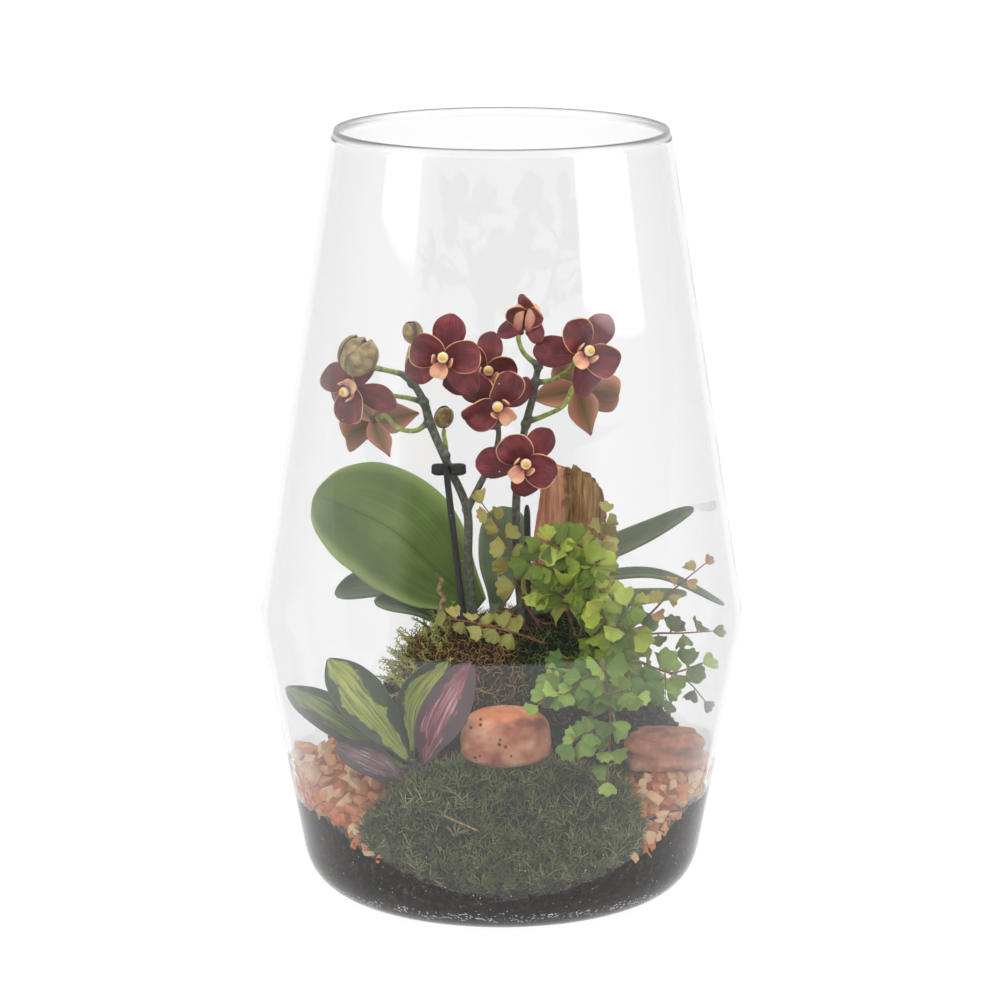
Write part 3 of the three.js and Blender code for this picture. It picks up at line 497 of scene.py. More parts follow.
def skin_points(node, spacing, seed, keep=None):
    """Places in mm strewn over a solid's skin, at least a spacing apart, with the skin's normals."""
    draw = np.random.default_rng(seed)
    mesh = solids[node].data
    mesh.calc_loop_triangles()
    corners = np.array([t.vertices[:] for t in mesh.loop_triangles])
    places = np.array([v.co[:] for v in mesh.vertices]) / mm
    a, b, c = (places[corners[:, k]] for k in range(3))
    cross = np.cross(b - a, c - a)
    area = np.linalg.norm(cross, axis=1)
    most_tries, tries_for_each_place = 60000, 5
    count = int(min(most_tries, tries_for_each_place * area.sum() / 2 / spacing**2))
    chosen = draw.choice(len(area), count, p=area / area.sum())
    u, v = draw.random(count), draw.random(count)
    u, v = np.where(u + v > 1, 1 - u, u), np.where(u + v > 1, 1 - v, v)
    spots = a[chosen] + (b - a)[chosen] * u[:, None] + (c - a)[chosen] * v[:, None]
    normals = unit(cross)[chosen]
    if keep is not None:
        kept = keep(spots, normals)
        spots, normals = spots[kept], normals[kept]
    taken, accepted = {}, []
    for i, p in enumerate(spots):
        cell = tuple((p // spacing).astype(int))
        near = [
            j
            for dx in (-1, 0, 1)
            for dy in (-1, 0, 1)
            for dz in (-1, 0, 1)
            for j in taken.get((cell[0] + dx, cell[1] + dy, cell[2] + dz), ())
        ]
        if all(np.sum((spots[j] - p) ** 2) >= spacing**2 for j in near):
            taken.setdefault(cell, []).append(i)
            accepted.append(i)
    return spots[accepted], normals[accepted]


def turned_to(normals, draw, scales, lean=0.0):
    """Matrices that stand copies up along the normals, each leaning and spun by chance, and scaled."""
    n = len(normals)
    up = unit(np.asarray(normals) + lean * draw.normal(size=(n, 3)))
    level = unit(np.cross(up, unit(draw.normal(size=(n, 3)))))
    return np.stack([level, np.cross(up, level), up], axis=2) * np.asarray(scales).reshape(n, 1, -1)


# %% [markdown]
# ## The vase
# The real vase is soda-lime glass blown into a mould: its wall is about 3 mm thick, the shoulder and the
# foot are softly rounded, and the cut rim is melted to a narrow round edge. A turned profile gives just
# that. Its points are extruded one after the other from a single point, and then spun once round the axis.

# %% The vase's profile
vase_height, rim_radius, shoulder_radius, shoulder_height = 400, 86.3, 126.4, 144
foot_radius, wall, floor_thickness, melted_height = 99.9, 3.0, 6.0, 4.5
shoulder_round, foot_round = 7, 24


def radius_at(z):
    """The outer radius of the straight walls, before the corners are rounded."""
    upper = lerp(shoulder_radius, rim_radius, (z - shoulder_height) / (vase_height - shoulder_height))
    return np.where(z > shoulder_height, upper, lerp(foot_radius, shoulder_radius, z / shoulder_height))


def rounded(start, bend, end, steps):
    t = np.linspace(0, 1, steps + 1)[:, None]
    return (1 - t) ** 2 * start + 2 * t * (1 - t) * bend + t**2 * end


def straight(start, end):
    """Extra points close to both ends of a straight, so that its shading stays straight as well."""
    shares = np.array([0.003, 0.03, 0.2, 0.4, 0.6, 0.8, 0.97, 0.997])[:, None]
    return start + (end - start) * shares


def wall_profile(inset, bottom, top):
    """The profile from the middle of the floor up to the rim, as (radius, height) in millimetres."""
    def corner(r, z):
        return np.array([float(r) - inset, z])

    def toward(a, b, distance):
        return a + unit(b - a) * distance

    rim, shoulder = corner(radius_at(top), top), corner(shoulder_radius, shoulder_height)
    foot = corner(radius_at(bottom), bottom)
    middle_of_floor = np.array([0.0, bottom])
    foot_start = toward(foot, middle_of_floor, foot_round - inset)
    foot_end = toward(foot, shoulder, foot_round - inset)
    turn_start, turn_end = toward(shoulder, foot, shoulder_round), toward(shoulder, rim, shoulder_round)
    return np.vstack(
        [
            middle_of_floor,
            straight(middle_of_floor, foot_start),
            rounded(foot_start, foot, foot_end, 14),
            straight(foot_end, turn_start),
            rounded(turn_start, shoulder, turn_end, 10),
            straight(turn_end, rim),
            rim,
        ]
    )


melted = [(math.cos(a), math.sin(a)) for a in np.linspace(0, math.pi, 15)[1:-1]]
rim_turn = [
    (rim_radius - wall / 2 + wall / 2 * c, vase_height + melted_height * (s - 1)) for c, s in melted
]
outside = wall_profile(0, 0, vase_height - melted_height)
inside = wall_profile(wall, floor_thickness, vase_height - melted_height)
vase_profile = np.vstack([outside, rim_turn, inside[::-1]])
print("points in the vase's profile:", len(vase_profile))

# %% Clear glass
# Soda-lime glass, blown and fire-polished: clear, and mirror smooth but for its rim. The faint grey of its
# base colour is what its iron takes away at each surface, and dulls the white seen through it. It takes
# more where the glass is seen slanting, because the way through it is longer there; that draws the vase's
# outline against the white. Its IOR is a little under the usual 1.5, matched to the photograph's thin haze.
clear_glass, tree, shader = new_finish(
    "clear_blown_soda_lime_glass", Roughness=0.0, IOR=1.48, Transmission_Weight=1.0
)
shader.inputs["Base Color"].default_value = (0.945, 0.947, 0.947, 1)
height = add(tree, "SeparateXYZ", out=None, Vector=add(tree, "TexCoord", out=OWN_PLACE)).outputs["Z"]
near_rim = add(tree, "MapRange", SMOOTH, Value=height, _1=0.391, _2=0.398, _3=1.0, _4=0.3)
slanting = add(tree, "Math", MULTIPLY, _0=add(tree, "LayerWeight", out=1, Blend=0.5), _1=near_rim)
tint = add(tree, "ValToRGB", out=None, Fac=slanting)
tint.color_ramp.elements[0].color = (0.945, 0.947, 0.947, 1)
tint.color_ramp.elements[1].color = (0.72, 0.722, 0.722, 1)
for place, grey in ((0.36, 0.915), (0.66, 0.815)):
    tint.color_ramp.elements.new(place).color = (grey, grey, grey, 1)
# Water has dried to a thin film on the lower wall, which greys it a little more.
film = add(tree, "MapRange", SMOOTH, Value=height, _1=0.115, _2=0.165, _3=0.984, _4=1.0)
darken = {"data_type": "RGBA", "blend_type": "MULTIPLY"}
filmed = add(tree, "Mix", darken, out=MIXED, _0=1.0, _6=tint.outputs["Color"], _7=film)
wire(shader, Base_Color=filmed)
# The melted edge is finely rippled, so it spreads the light to a soft grey line.
rippled = add(tree, "MapRange", SMOOTH, Value=height, _1=0.3952, _2=0.3965, _3=0.0, _4=0.32)
wire(shader, Roughness=rippled)

# %% Spinning the vase
bpy.ops.object.select_all(action="DESELECT")
bpy.ops.mesh.primitive_plane_add(size=0.01)
vase = bpy.context.object
bpy.ops.object.mode_set(mode="EDIT")
bpy.ops.mesh.select_all(action="SELECT")
bpy.ops.mesh.merge(type="CENTER")
for step in np.diff(vase_profile, axis=0) * mm:
    bpy.ops.mesh.extrude_vertices_move(TRANSFORM_OT_translate={"value": (step[0], 0, step[1])})
bpy.ops.mesh.select_all(action="SELECT")
bpy.ops.mesh.spin(steps=144, angle=2 * math.pi, center=(0, 0, 0), axis=(0, 0, 1))
bpy.ops.mesh.select_all(action="SELECT")
bpy.ops.mesh.remove_doubles(threshold=2e-6)
bpy.ops.mesh.normals_make_consistent(inside=False)
bpy.ops.object.mode_set(mode="OBJECT")
vase.data.materials.append(clear_glass)
vase.visible_shadow = False
hand_over(vase, "vase_of_clear_glass", "clear_glass", "glass_vase", angle=60)

# %% Staying inside the glass
inner_height = inside[1:, 1]
inner_radius = inside[1:, 0]


def inside_glass(places, spare=0.45):
    """Places in mm, drawn in to the glass where they would touch it."""
    z = np.maximum(places[:, 2], floor_thickness + spare)
    room = np.interp(z, inner_height, inner_radius) - spare
    reach = np.hypot(places[:, 0], places[:, 1])
    share = np.minimum(1, room / np.maximum(reach, 1e-6))
    return np.stack([places[:, 0] * share, places[:, 1] * share, z], axis=1)


def fit_in_glass(piece, spare=0.45):
    return move_points(piece, inside_glass(points_of(piece) / mm, spare))


inner_walk = np.concatenate([[0], np.cumsum(np.linalg.norm(np.diff(inside, axis=0), axis=1))])
inner_skin = np.stack(
    [np.interp(np.linspace(0, 260, 700), inner_walk, inside[:, k]) for k in (0, 1)], axis=1
)
inner_way = unit(np.gradient(inner_skin, axis=0))
into_glass = np.stack([inner_way[:, 1], -inner_way[:, 0]], axis=1)


def press_on_glass(piece, within, depth):
    """Wet things lie tight on glass: points nearer than within are drawn a hair's breadth into it."""
    places = points_of(piece) / mm
    reach = np.hypot(places[:, 0], places[:, 1])
    flat, depth = np.stack([reach, places[:, 2]], axis=1), np.broadcast_to(depth, len(places))
    for some in np.array_split(np.arange(len(flat)), 60):
        apart = np.linalg.norm(flat[some, None] - inner_skin[None], axis=2)
        nearest = apart.argmin(axis=1)
        beyond = np.sum((flat[some] - inner_skin[nearest]) * into_glass[nearest], axis=1)
        close = (beyond > -within) & (beyond > -9)
        chosen, foot = some[close], nearest[close]
        flat[chosen] = inner_skin[foot] + into_glass[foot] * depth[chosen][:, None]
    share = flat[:, 0] / np.maximum(reach, 1e-6)
    return move_points(piece, np.stack([places[:, 0] * share, places[:, 1] * share, flat[:, 1]], axis=1))


print("room inside the shoulder:", round(float(np.interp(144, inner_height, inner_radius)), 1), "mm")

# %% [markdown]
# ## The soil
# Potting soil is peat and rotted bark: nearly black when damp, in crumbs of one to four millimetres, with
# pale rootlets here and there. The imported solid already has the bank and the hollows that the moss, chips
# and stones lie in. So its skin is remade from small even squares, roughened, and strewn with crumbs.

# %% Damp potting soil
# Matt throughout, and only the tone changes from crumb to crumb. The crumbs, 1 to 4 mm, give the noise
# scales 900 and 260.
damp_soil, tree, shader = new_finish("damp_peat_potting_soil", Roughness=0.95, Specular_IOR_Level=0.25)
place = add(tree, "TexCoord", out=OWN_PLACE)
coarse = add(tree, "TexNoise", Vector=place, Scale=260, Detail=4, Roughness=0.65)
fine = add(tree, "TexNoise", Vector=place, Scale=900, Detail=3, Roughness=0.7)
both = add(tree, "Math", MULTIPLY_ADD, _0=coarse, _1=0.55, _2=add(tree, "Math", MULTIPLY, _0=fine, _1=0.45))
tone = add(tree, "Attribute", TONE, out=FACTOR)
mixed = add(tree, "Math", MULTIPLY_ADD, _0=tone, _1=0.16, _2=both)
shader_colour = add(
    tree, "ValToRGB",
    {"stops": ((0.38, "060403"), (0.48, "17100c"), (0.57, "3a2c24"), (0.68, "74645a"))},
    Fac=mixed,
)
wire(shader, Base_Color=shader_colour)
bump = add(tree, "Bump", Height=both, Strength=0.8, Distance=0.0015)
wire(shader, Normal=bump)

# %% Soil and its crumbs
soil_skin = copy_of_solid("soil", 2.0)
roughen(soil_skin, 1.5, 5.5, 1, sink=0.7)
soil_skin.data.materials.append(damp_soil)
draw = np.random.default_rng(5)
crumb_patterns = [
    pattern_of(
        ball(1, lambda p, s=s: p * (1 + 0.35 * roughness_at(p * 10, 9, s, 1))[:, None] * [1.0, 0.8, 0.6])
    )
    for s in (3, 4, 5)
]
spots, ways = skin_points("soil", 3.4, 7, lambda p, n: (n[:, 2] > 0.25) & (p[:, 2] > 20))
sizes = 0.6 + 1.9 * draw.random(len(spots)) ** 2
crumbs = strew(crumb_patterns, spots, turned_to(ways, draw, sizes, 0.6), draw.random(len(spots)), damp_soil)
soil = join([soil_skin, crumbs])
fit_in_glass(soil, 0.5)
# Wet soil lies tight against the glass, which takes away the inner mirror image and makes it look darker.
press_on_glass(soil, 3.4, 0.08)
hand_over(soil, "damp_soil", "soil", "soil", angle=60)

# %% [markdown]
# ## The moss cushion
# A cushion of hair moss: thousands of fine upright shoots, 4 to 6 mm long, dark at the foot and paler at
# the tip. Real hair would be lost in the export, so tufts of slim three-sided needles are strewn instead.
# They stand along a direction between the skin's own and straight up, as shoots that grow toward light do.

# %% Hair moss
# Soft, matt and slightly damp: the colour climbs from a nearly black foot to an olive tip with the rise of
# each point, and each tuft has its own tone, so that the cushion looks mown but alive. The nearly black foot
# is partly older growth and partly painted shade deep in the cushion.
hair_moss, tree, shader = new_finish("hair_moss_shoots", Roughness=0.8, Specular_IOR_Level=0.25)
tone = add(tree, "Attribute", TONE, out=FACTOR)
rise = add(tree, "Attribute", RISE, out=FACTOR)
place = add(tree, "TexCoord", out=OWN_PLACE)
patch = add(tree, "TexNoise", Vector=place, Scale=60, Detail=2, Roughness=0.5)
tinted = add(
    tree, "Math", MULTIPLY_ADD, _0=patch, _1=0.25, _2=add(tree, "Math", MULTIPLY, _0=tone, _1=0.75)
)
young = add(
    tree, "ValToRGB",
    {"stops": ((0.15, "414f1f"), (0.5, "737d3b"), (0.75, "a2a163"), (0.88, "d2cc93"))},
    Fac=tinted,
)
# Painted shade: the nearly black foot colour is partly older growth and partly the shade deep between the
# shoots.
old_and_painted_shade = add(tree, "ValToRGB", {"stops": ((0.3, "0c1006"), (0.7, "262e14"))}, Fac=tinted)
greens = add(tree, "Mix", MIX_COLOURS, out=MIXED, _0=rise, _6=old_and_painted_shade, _7=young)
wire(shader, Base_Color=greens)

# %% Dry twig
# A fallen stick and a rootlet: matt, brown, and paler where the skin has worn off.
dry_twig, tree, shader = new_finish("dry_reddish_twig", Roughness=0.7)
place = add(tree, "TexCoord", out=OWN_PLACE)
wire(
    shader,
    Base_Color=add(
        tree, "ValToRGB", {"stops": ((0.35, "6a5038"), (0.65, "a58a66"))},
        Fac=add(tree, "TexNoise", Vector=place, Scale=400, Detail=2),
    ),
)


# %% Tufts
def spike(length, radius, lean):
    """A slim needle that leans further out toward its tip. Millimetres, standing on the origin."""
    bpy.ops.object.select_all(action="DESELECT")
    bpy.ops.mesh.primitive_cylinder_add(vertices=3, radius=1, depth=2, end_fill_type="NGON")
    made = bpy.context.object
    bpy.ops.object.mode_set(mode="EDIT")
    bpy.ops.mesh.select_all(action="SELECT")
    bpy.ops.mesh.bisect(plane_co=(0, 0, 0), plane_no=(0, 0, 1))
    bpy.ops.object.mode_set(mode="OBJECT")
    flat = points_of(made)
    t = (flat[:, 2] + 1) / 2
    width = radius * np.interp(t, [0, 0.5, 1], [0.8, 1.0, 0.12])
    outward = np.stack([lean[0] * t**1.6, lean[1] * t**1.6, t], axis=1) * length
    return move_points(made, outward + flat * [1, 1, 0] * width[:, None])


def tuft(seed, count, length, radius, spread):
    draw = np.random.default_rng(seed)
    needles = []
    for k in range(count):
        angle = 2 * math.pi * (k + draw.random()) / count
        away = spread * draw.uniform(0.35, 1.0)
        needles.append(
            spike(length * draw.uniform(0.7, 1.1), radius, (away * math.cos(angle), away * math.sin(angle)))
        )
    return pattern_of(join(needles))


moss_skin = copy_of_solid("moss_cushion", 2.2)
roughen(moss_skin, 1.0, 7, 2, sink=1.2)
moss_skin.data.materials.append(hair_moss)
tufts = [tuft(s, 6, 7.2, 0.34, 1.1) for s in (11, 12, 13, 14)]
spots, ways = skin_points("moss_cushion", 1.9, 15, lambda p, n: (n[:, 2] > -0.35) & (p[:, 2] > 24))
draw = np.random.default_rng(16)
growing = unit(ways + [0, 0, 0.7])
shoots = strew(
    tufts, spots - growing * 2.6, turned_to(growing, draw, draw.uniform(0.55, 1.2, len(spots)), 0.42),
    draw.random(len(spots)) ** 1.2, hair_moss,
)
print("tufts:", len(spots))
fallen_stick = tube([(-29, -101, 66), (-21, -104, 63), (-11, -106, 59)], [0.5, 0.6, 0.45], sides=7, cuts=12)
fallen_stick.data.materials.append(dry_twig)
cushion = join([moss_skin, shoots, fallen_stick])
fit_in_glass(cushion, 0.5)
hand_over(cushion, "moss_cushion_shoots", "moss", "moss_cushion", angle=50)

# %% [markdown]
# ## Chips
# Two beds of crushed brick-coloured stone. Each chip is a broken corner of a larger stone: flat faces,
# blunt edges, 6 to 12 mm long, from deep orange to cream. A cube is cut and pressed out of square, given a
# small bevel, and strewn over each bed.

# %% Crushed stone
# Broken, dry and dusty: nearly matt. Each chip's tone picks its colour, and a grain of 1.5 mm (scale 650)
# mottles it.
crushed_stone, tree, shader = new_finish("crushed_orange_stone", Roughness=0.78, Specular_IOR_Level=0.35)
tone = add(tree, "Attribute", TONE, out=FACTOR)
place = add(tree, "TexCoord", out=OWN_PLACE)
grain = add(tree, "TexNoise", Vector=place, Scale=650, Detail=4, Roughness=0.6)
shifted = add(tree, "Math", MULTIPLY_ADD, _0=grain, _1=0.35, _2=tone)
chip_colour = add(
    tree, "ValToRGB",
    {"stops": ((0.12, "a4552c"), (0.34, "c4703f"), (0.58, "cc8352"), (0.85, "d39a6c"), (1.0, "dcbb92"))},
    Fac=shifted,
)
wire(shader, Base_Color=chip_colour)
wire(shader, Normal=add(tree, "Bump", Height=grain, Strength=0.35, Distance=0.0006))


# %% Chips strewn over their beds
def chip(seed):
    """A broken stone: a cube whose corners are pulled out of square, bevelled and worn."""
    draw = np.random.default_rng(seed)
    bpy.ops.object.select_all(action="DESELECT")
    bpy.ops.mesh.primitive_cube_add(size=2)
    made = bpy.context.object
    corners = points_of(made)
    corners = corners * [3.5, 2.9, 2.3] + draw.normal(size=corners.shape) * [0.9, 0.8, 0.7]
    corners[corners[:, 0] > 0] *= [1, *draw.uniform(0.5, 1.0, 2)]
    move_points(made, corners)
    modify(made, "BEVEL", width=0.7 * mm, segments=2, limit_method="NONE")
    return pattern_of(made)


chip_patterns = [chip(s) for s in (21, 22, 23, 24, 25)]
chip_beds = []
for node, seed in (("gravel_left", 31), ("gravel_right", 32)):
    core = copy_of_solid(node, 2.5)
    roughen(core, 0.6, 4, seed, sink=1.6)
    core.data.materials.append(crushed_stone)
    spots, ways = skin_points(node, 4.3, seed, lambda p, n: (n[:, 2] > -0.3) & (p[:, 2] > 30))
    draw = np.random.default_rng(seed)
    scale = draw.uniform(0.62, 1.2, len(spots))
    turns = turned_to(ways, draw, scale, 0.45)
    chips = strew(chip_patterns, spots - ways * 1.2, turns, draw.random(len(spots)), crushed_stone)
    bed = join([core, chips])
    tones = np.empty(len(bed.data.vertices), np.float32)
    bed.data.attributes["tone"].data.foreach_get("value", tones)
    press_on_glass(bed, 1.0, 0.06 + 0.5 * tones)
    chip_beds.append(hand_over(bed, "crushed_stone_" + node[7:], "chips", node, angle=35))
    print(node, "chips:", len(spots))

# %% [markdown]
# ## The two stones
# The round one is a river pebble of orange sandstone, smooth but pitted; the other is a slab of layered
# rock with a pale ledge. The solids were drawn from formulas, so the same formulas shape a ball with many
# more points, and pits and layers are added on top.

# %% Pitted sandstone
# Worn by water: half matt. Bands of salmon and orange 8 mm wide, and dark pits about 1.5 mm across.
sandstone, tree, shader = new_finish("water_worn_sandstone", Roughness=0.62, Specular_IOR_Level=0.4)
place = add(tree, "TexCoord", out=OWN_PLACE)
warp = add(tree, "TexNoise", Vector=place, Scale=70, Detail=5, Roughness=0.6)
bands = add(
    tree, "TexNoise",
    Vector=add(tree, "Mapping", Vector=place, Scale=(0.5, 0.5, 2.2), Rotation=(0.2, 0.15, 0)),
    Scale=60, Detail=3,
)
tint = add(tree, "Math", MULTIPLY_ADD, _0=bands, _1=0.35, _2=add(tree, "Math", MULTIPLY, _0=warp, _1=0.65))
body_colour = add(
    tree, "ValToRGB",
    {"stops": ((0.36, "7d4530"), (0.46, "a8684a"), (0.54, "bb8465"), (0.64, "d3aa90"))},
    Fac=tint,
)
# Painted light: the top is brighter than the sides, down to an uneven edge, as where light falls on it from
# above.
top = add(
    tree, "Math", MULTIPLY_ADD, _0=warp, _1=0.012,
    _2=add(tree, "SeparateXYZ", out=None, Vector=place).outputs["Z"],
)
painted_top_light = add(tree, "MapRange", SMOOTH, Value=top, _1=0.1085, _2=0.1125, _3=0.0, _4=0.9)
painted_top_light_colour = add(
    tree, "ValToRGB", {"stops": ((0.36, "b5623a"), (0.5, "d48a60"), (0.64, "e3b08c"))}, Fac=tint
)
stone_colour = add(tree, "Mix", MIX_COLOURS, out=MIXED, _0=painted_top_light, _6=body_colour, _7=painted_top_light_colour)
cells = add(tree, "TexVoronoi", Vector=place, Scale=230, Randomness=1.0)
pits = add(tree, "MapRange", Value=cells, _1=0.16, _2=0.28, _3=1.0, _4=0.0)
where = add(
    tree, "MapRange",
    Value=add(tree, "TexNoise", Vector=place, Scale=120, Detail=1), _1=0.5, _2=0.6,
    _3=0.0, _4=1.0,
)
pitted = add(tree, "Math", MULTIPLY, _0=pits, _1=where)
wire(
    shader,
    Base_Color=add(tree, "Mix", MIX_COLOURS, out=MIXED, _0=pitted, _6=stone_colour, _7=colour("4a2a1d")),
)
depth = add(tree, "Math", SUBTRACT, _0=warp, _1=pitted)
wire(shader, Normal=add(tree, "Bump", Height=depth, Strength=0.6, Distance=0.0012))


# %% The pebble
def pebble_form(p):
    worn = 1 + 0.05 * (
        np.sin(3.1 * p[:, 0] + 1.7 * p[:, 2] + 0.4) * np.cos(2.6 * p[:, 1] - p[:, 2])
        - 0.3 * p[:, 0] * p[:, 1]
    )
    round_plan = np.hypot(p[:, 0], p[:, 1])
    fuller = np.maximum(round_plan, 1e-6) ** 0.72 / np.maximum(round_plan, 1e-6)
    x, y = p[:, 0] * fuller * worn * 23.8, p[:, 1] * fuller * worn * 15
    z = np.sign(p[:, 2]) * np.abs(p[:, 2]) ** 0.72 * 15.6
    c, s = math.cos(math.radians(6)), math.sin(math.radians(6))
    body = np.stack([x * c - y * s, x * s + y * c, z], axis=1)
    dents = 0.25 * roughness_at(body, 6, 3, 3)
    return body * (1 + (dents[:, None] - 0.15) / 15) + [2, -57, 94.5]


pebble = ball(6, pebble_form)
pebble.data.materials.append(sandstone)
hand_over(pebble, "river_pebble_worn", "pebble", "river_pebble")

# %% Layered rock
# Split along its beds: terracotta and grey-brown layers 2 to 4 mm thick, rough and quite matt.
layered, tree, shader = new_finish("split_layered_rock", Roughness=0.85, Specular_IOR_Level=0.3)
place = add(tree, "TexCoord", out=OWN_PLACE)
warp = add(tree, "TexNoise", Vector=place, Scale=90, Detail=5, Roughness=0.65)
height = add(tree, "SeparateXYZ", out=None, Vector=place).outputs["Z"]
bent = add(tree, "Math", MULTIPLY_ADD, _0=warp, _1=0.010, _2=height)
layers = add(tree, "TexNoise", {"noise_dimensions": "1D"}, W=bent, Scale=95, Detail=2)
mottle = add(tree, "Math", MULTIPLY_ADD, _0=layers, _1=0.3, _2=add(tree, "Math", MULTIPLY, _0=warp, _1=0.7))
wire(
    shader,
    Base_Color=add(
        tree, "ValToRGB",
        {"stops": ((0.36, "6f5246"), (0.46, "9c6a54"), (0.55, "b5785c"), (0.66, "cf9a7c"))},
        Fac=mottle,
    ),
)
wire(shader, Normal=add(tree, "Bump", Height=mottle, Strength=0.8, Distance=0.0018))


# %% The rock
def rock_form(p):
    level = np.sign(p[:, 2]) * np.abs(p[:, 2]) ** 0.62
    angle = np.arctan2(p[:, 1], p[:, 0])
    ledge = np.interp(
        level, [-1, -0.55, -0.1, 0.02, 0.35, 0.75, 1], [0.84, 0.98, 1, 0.95, 0.95, 0.86, 0.62]
    )
    squared = 1 / np.maximum(np.abs(np.cos(angle)), np.abs(np.sin(angle))) ** 0.45
    tier = np.interp(level, [-1, -0.55, -0.1, 0.02, 0.35, 0.75, 1], range(7))
    rough = 1 + 0.06 * np.sin(5 * angle + 2 * tier) + 0.04 * np.cos(3 * angle - tier)
    flat = np.minimum(1, np.hypot(p[:, 0], p[:, 1]) / 0.62) ** 0.8
    reach = ledge * squared * rough * flat
    body = np.stack([22 * reach * np.cos(angle), 15 * reach * np.sin(angle), 10.5 * level], axis=1)
    body += unit(body) * (0.9 * roughness_at(body * [0.7, 0.7, 1.5], 7, 6, 3) - 0.3)[:, None]
    return body + [84, -27, 80]


rock = ball(6, rock_form)
rock.data.materials.append(layered)
fit_in_glass(rock)
hand_over(rock, "layered_rock_split", "rock", "layered_rock", angle=60)

# %% [markdown]
# ## The ball of bog moss
# The orchid's roots are wrapped in dried bog moss: a tangle of brown, curling strands with a little fresh
# green. A dark inner skin closes the gaps, and curled threads of five shapes are laid over it, each 5 to 12
# mm long.

# %% Dried bog moss
# Dry fibre, quite matt: straw, tan and dark brown from strand to strand, and mossy green toward the fern.
bog_moss, tree, shader = new_finish("dried_bog_moss", Roughness=0.9, Specular_IOR_Level=0.2)
tone = add(tree, "Attribute", TONE, out=FACTOR)
place = add(tree, "TexCoord", out=OWN_PLACE)
across = add(tree, "SeparateXYZ", out=None, Vector=place).outputs["X"]
patch = add(tree, "TexNoise", Vector=place, Scale=50, Detail=3)
dry = add(
    tree, "ValToRGB",
    {"stops": ((0.0, "1c130b"), (0.25, "573b22"), (0.6, "946b3d"), (1.0, "c9a56c"))},
    Fac=tone,
)
fresh = add(
    tree, "ValToRGB",
    {"stops": ((0.0, "11170a"), (0.4, "36461a"), (0.8, "5f7328"), (1.0, "8d9c40"))},
    Fac=tone,
)
side = add(tree, "Math", MULTIPLY_ADD, _0=patch, _1=0.09, _2=across)
green_share = add(tree, "MapRange", SMOOTH, Value=side, _1=0.047, _2=0.066, _3=0.0, _4=1.0)
wire(shader, Base_Color=add(tree, "Mix", MIX_COLOURS, out=MIXED, _0=green_share, _6=dry, _7=fresh))

# %% Fresh shoots
# New growth at the left edge of the ball: soft yellow-green and slightly waxy.
fresh_moss, tree, shader = new_finish("fresh_feather_moss", Roughness=0.7)
rise = add(tree, "Attribute", RISE, out=FACTOR)
wire(
    shader,
    Base_Color=add(
        tree, "ValToRGB", {"stops": ((0.0, "5f5228"), (0.35, "8a8a40"), (1.0, "b7bd68"))}, Fac=rise
    ),
)


# %% Curled threads
def curl(seed):
    """A wavy thread, 11 mm long."""
    length, radius = 11.0, 0.22
    draw = np.random.default_rng(seed)
    steps = np.linspace(0, 1, 7)
    bend = draw.uniform(1.5, 3.6) * (1 if seed % 2 else -1)
    path = np.stack(
        [
            length * (steps - 0.5),
            length * 0.22 * np.sin(bend * steps * 2 + draw.random()),
            length * 0.12 * np.cos(bend * steps * 1.7),
        ],
        axis=1,
    )
    return pattern_of(tube(path, [radius * 0.6, radius, radius * 0.5], sides=3, cuts=7))


ball_skin = copy_of_solid("root_ball", 2.4)
roughen(ball_skin, 1.6, 6, 3, sink=1.2)
ball_skin.data.materials.append(bog_moss)
threads = [curl(s) for s in (41, 42, 43, 44, 45)]
spots, ways = skin_points("root_ball", 1.6, 46, lambda p, n: (n[:, 2] > -0.5) & (p[:, 2] > 106.5))
draw = np.random.default_rng(47)
laid = spots + ways * draw.uniform(-1.2, 0.9, (len(spots), 1))
turns = turned_to(ways, draw, draw.uniform(0.5, 1.1, len(spots)), 0.32)
strands = strew(threads, laid, turns, draw.random(len(spots)) ** 0.9, bog_moss)
print("strands:", len(spots))


def feather(seed):
    """A shoot of feather moss: a bent stalk with short side leaves."""
    draw = np.random.default_rng(seed)
    parts = [tube([(0, 0, 0), (0.6, 0, 5), (3.0, 0, 12)], [0.32, 0.28, 0.12], sides=4, cuts=3)]
    for k in range(13):
        t = 0.2 + 0.06 * k
        leaf = spike(3.0 - 1.5 * t, 0.3, (0, 0))
        angle = k * 2.4 + draw.random()
        lean = unit([math.cos(angle), math.sin(angle), 0.7])
        other = unit(np.cross(lean, [0.1, 0.2, 1]))
        frame_of_leaf = np.stack([other, np.cross(lean, other), lean], axis=1)
        at = np.array([3.0 * t**1.7, 0, 12 * t])
        move_points(leaf, (points_of(leaf) / mm) @ frame_of_leaf.T + at)
        parts.append(leaf)
    return pattern_of(join(parts))


spots, ways = skin_points(
    "root_ball", 3.6, 48, lambda p, n: (p[:, 0] < -26) & (p[:, 1] < 18) & (n[:, 2] > -0.2)
)
draw = np.random.default_rng(49)
shoots = strew(
    [feather(s) for s in (51, 52, 53)], spots - ways,
    turned_to(unit(ways + [-0.5, -0.2, 0.4]), draw, draw.uniform(0.7, 1.15, len(spots)), 0.35),
    draw.random(len(spots)), fresh_moss,
)
print("fresh shoots:", len(spots))
rootlet = tube(
    [
        (-31, -13, 143), (-31.5, -14, 152), (-29.8, -14, 157), (-32.6, -15, 161), (-31, -14, 166),
        (-34, -14, 170),
    ],
    [1.5, 1.1, 1.4, 1.0, 1.2, 0.5], sides=8, cuts=36,
)
rootlet.data.materials.append(dry_twig)
moss_ball = join([ball_skin, strands, shoots, rootlet])
hand_over(moss_ball, "bog_moss_ball", "bog_moss", "root_ball", angle=60)

# %% [markdown]
# ## The bark
# A split piece of pine: the left face is clean cinnamon wood, torn off along its grain, and the right is
# rough brown bark that breaks into ridges. A cylinder with many cuts takes the solid's own form, and
# ridges, fissures and splinters are pressed into it by formula.

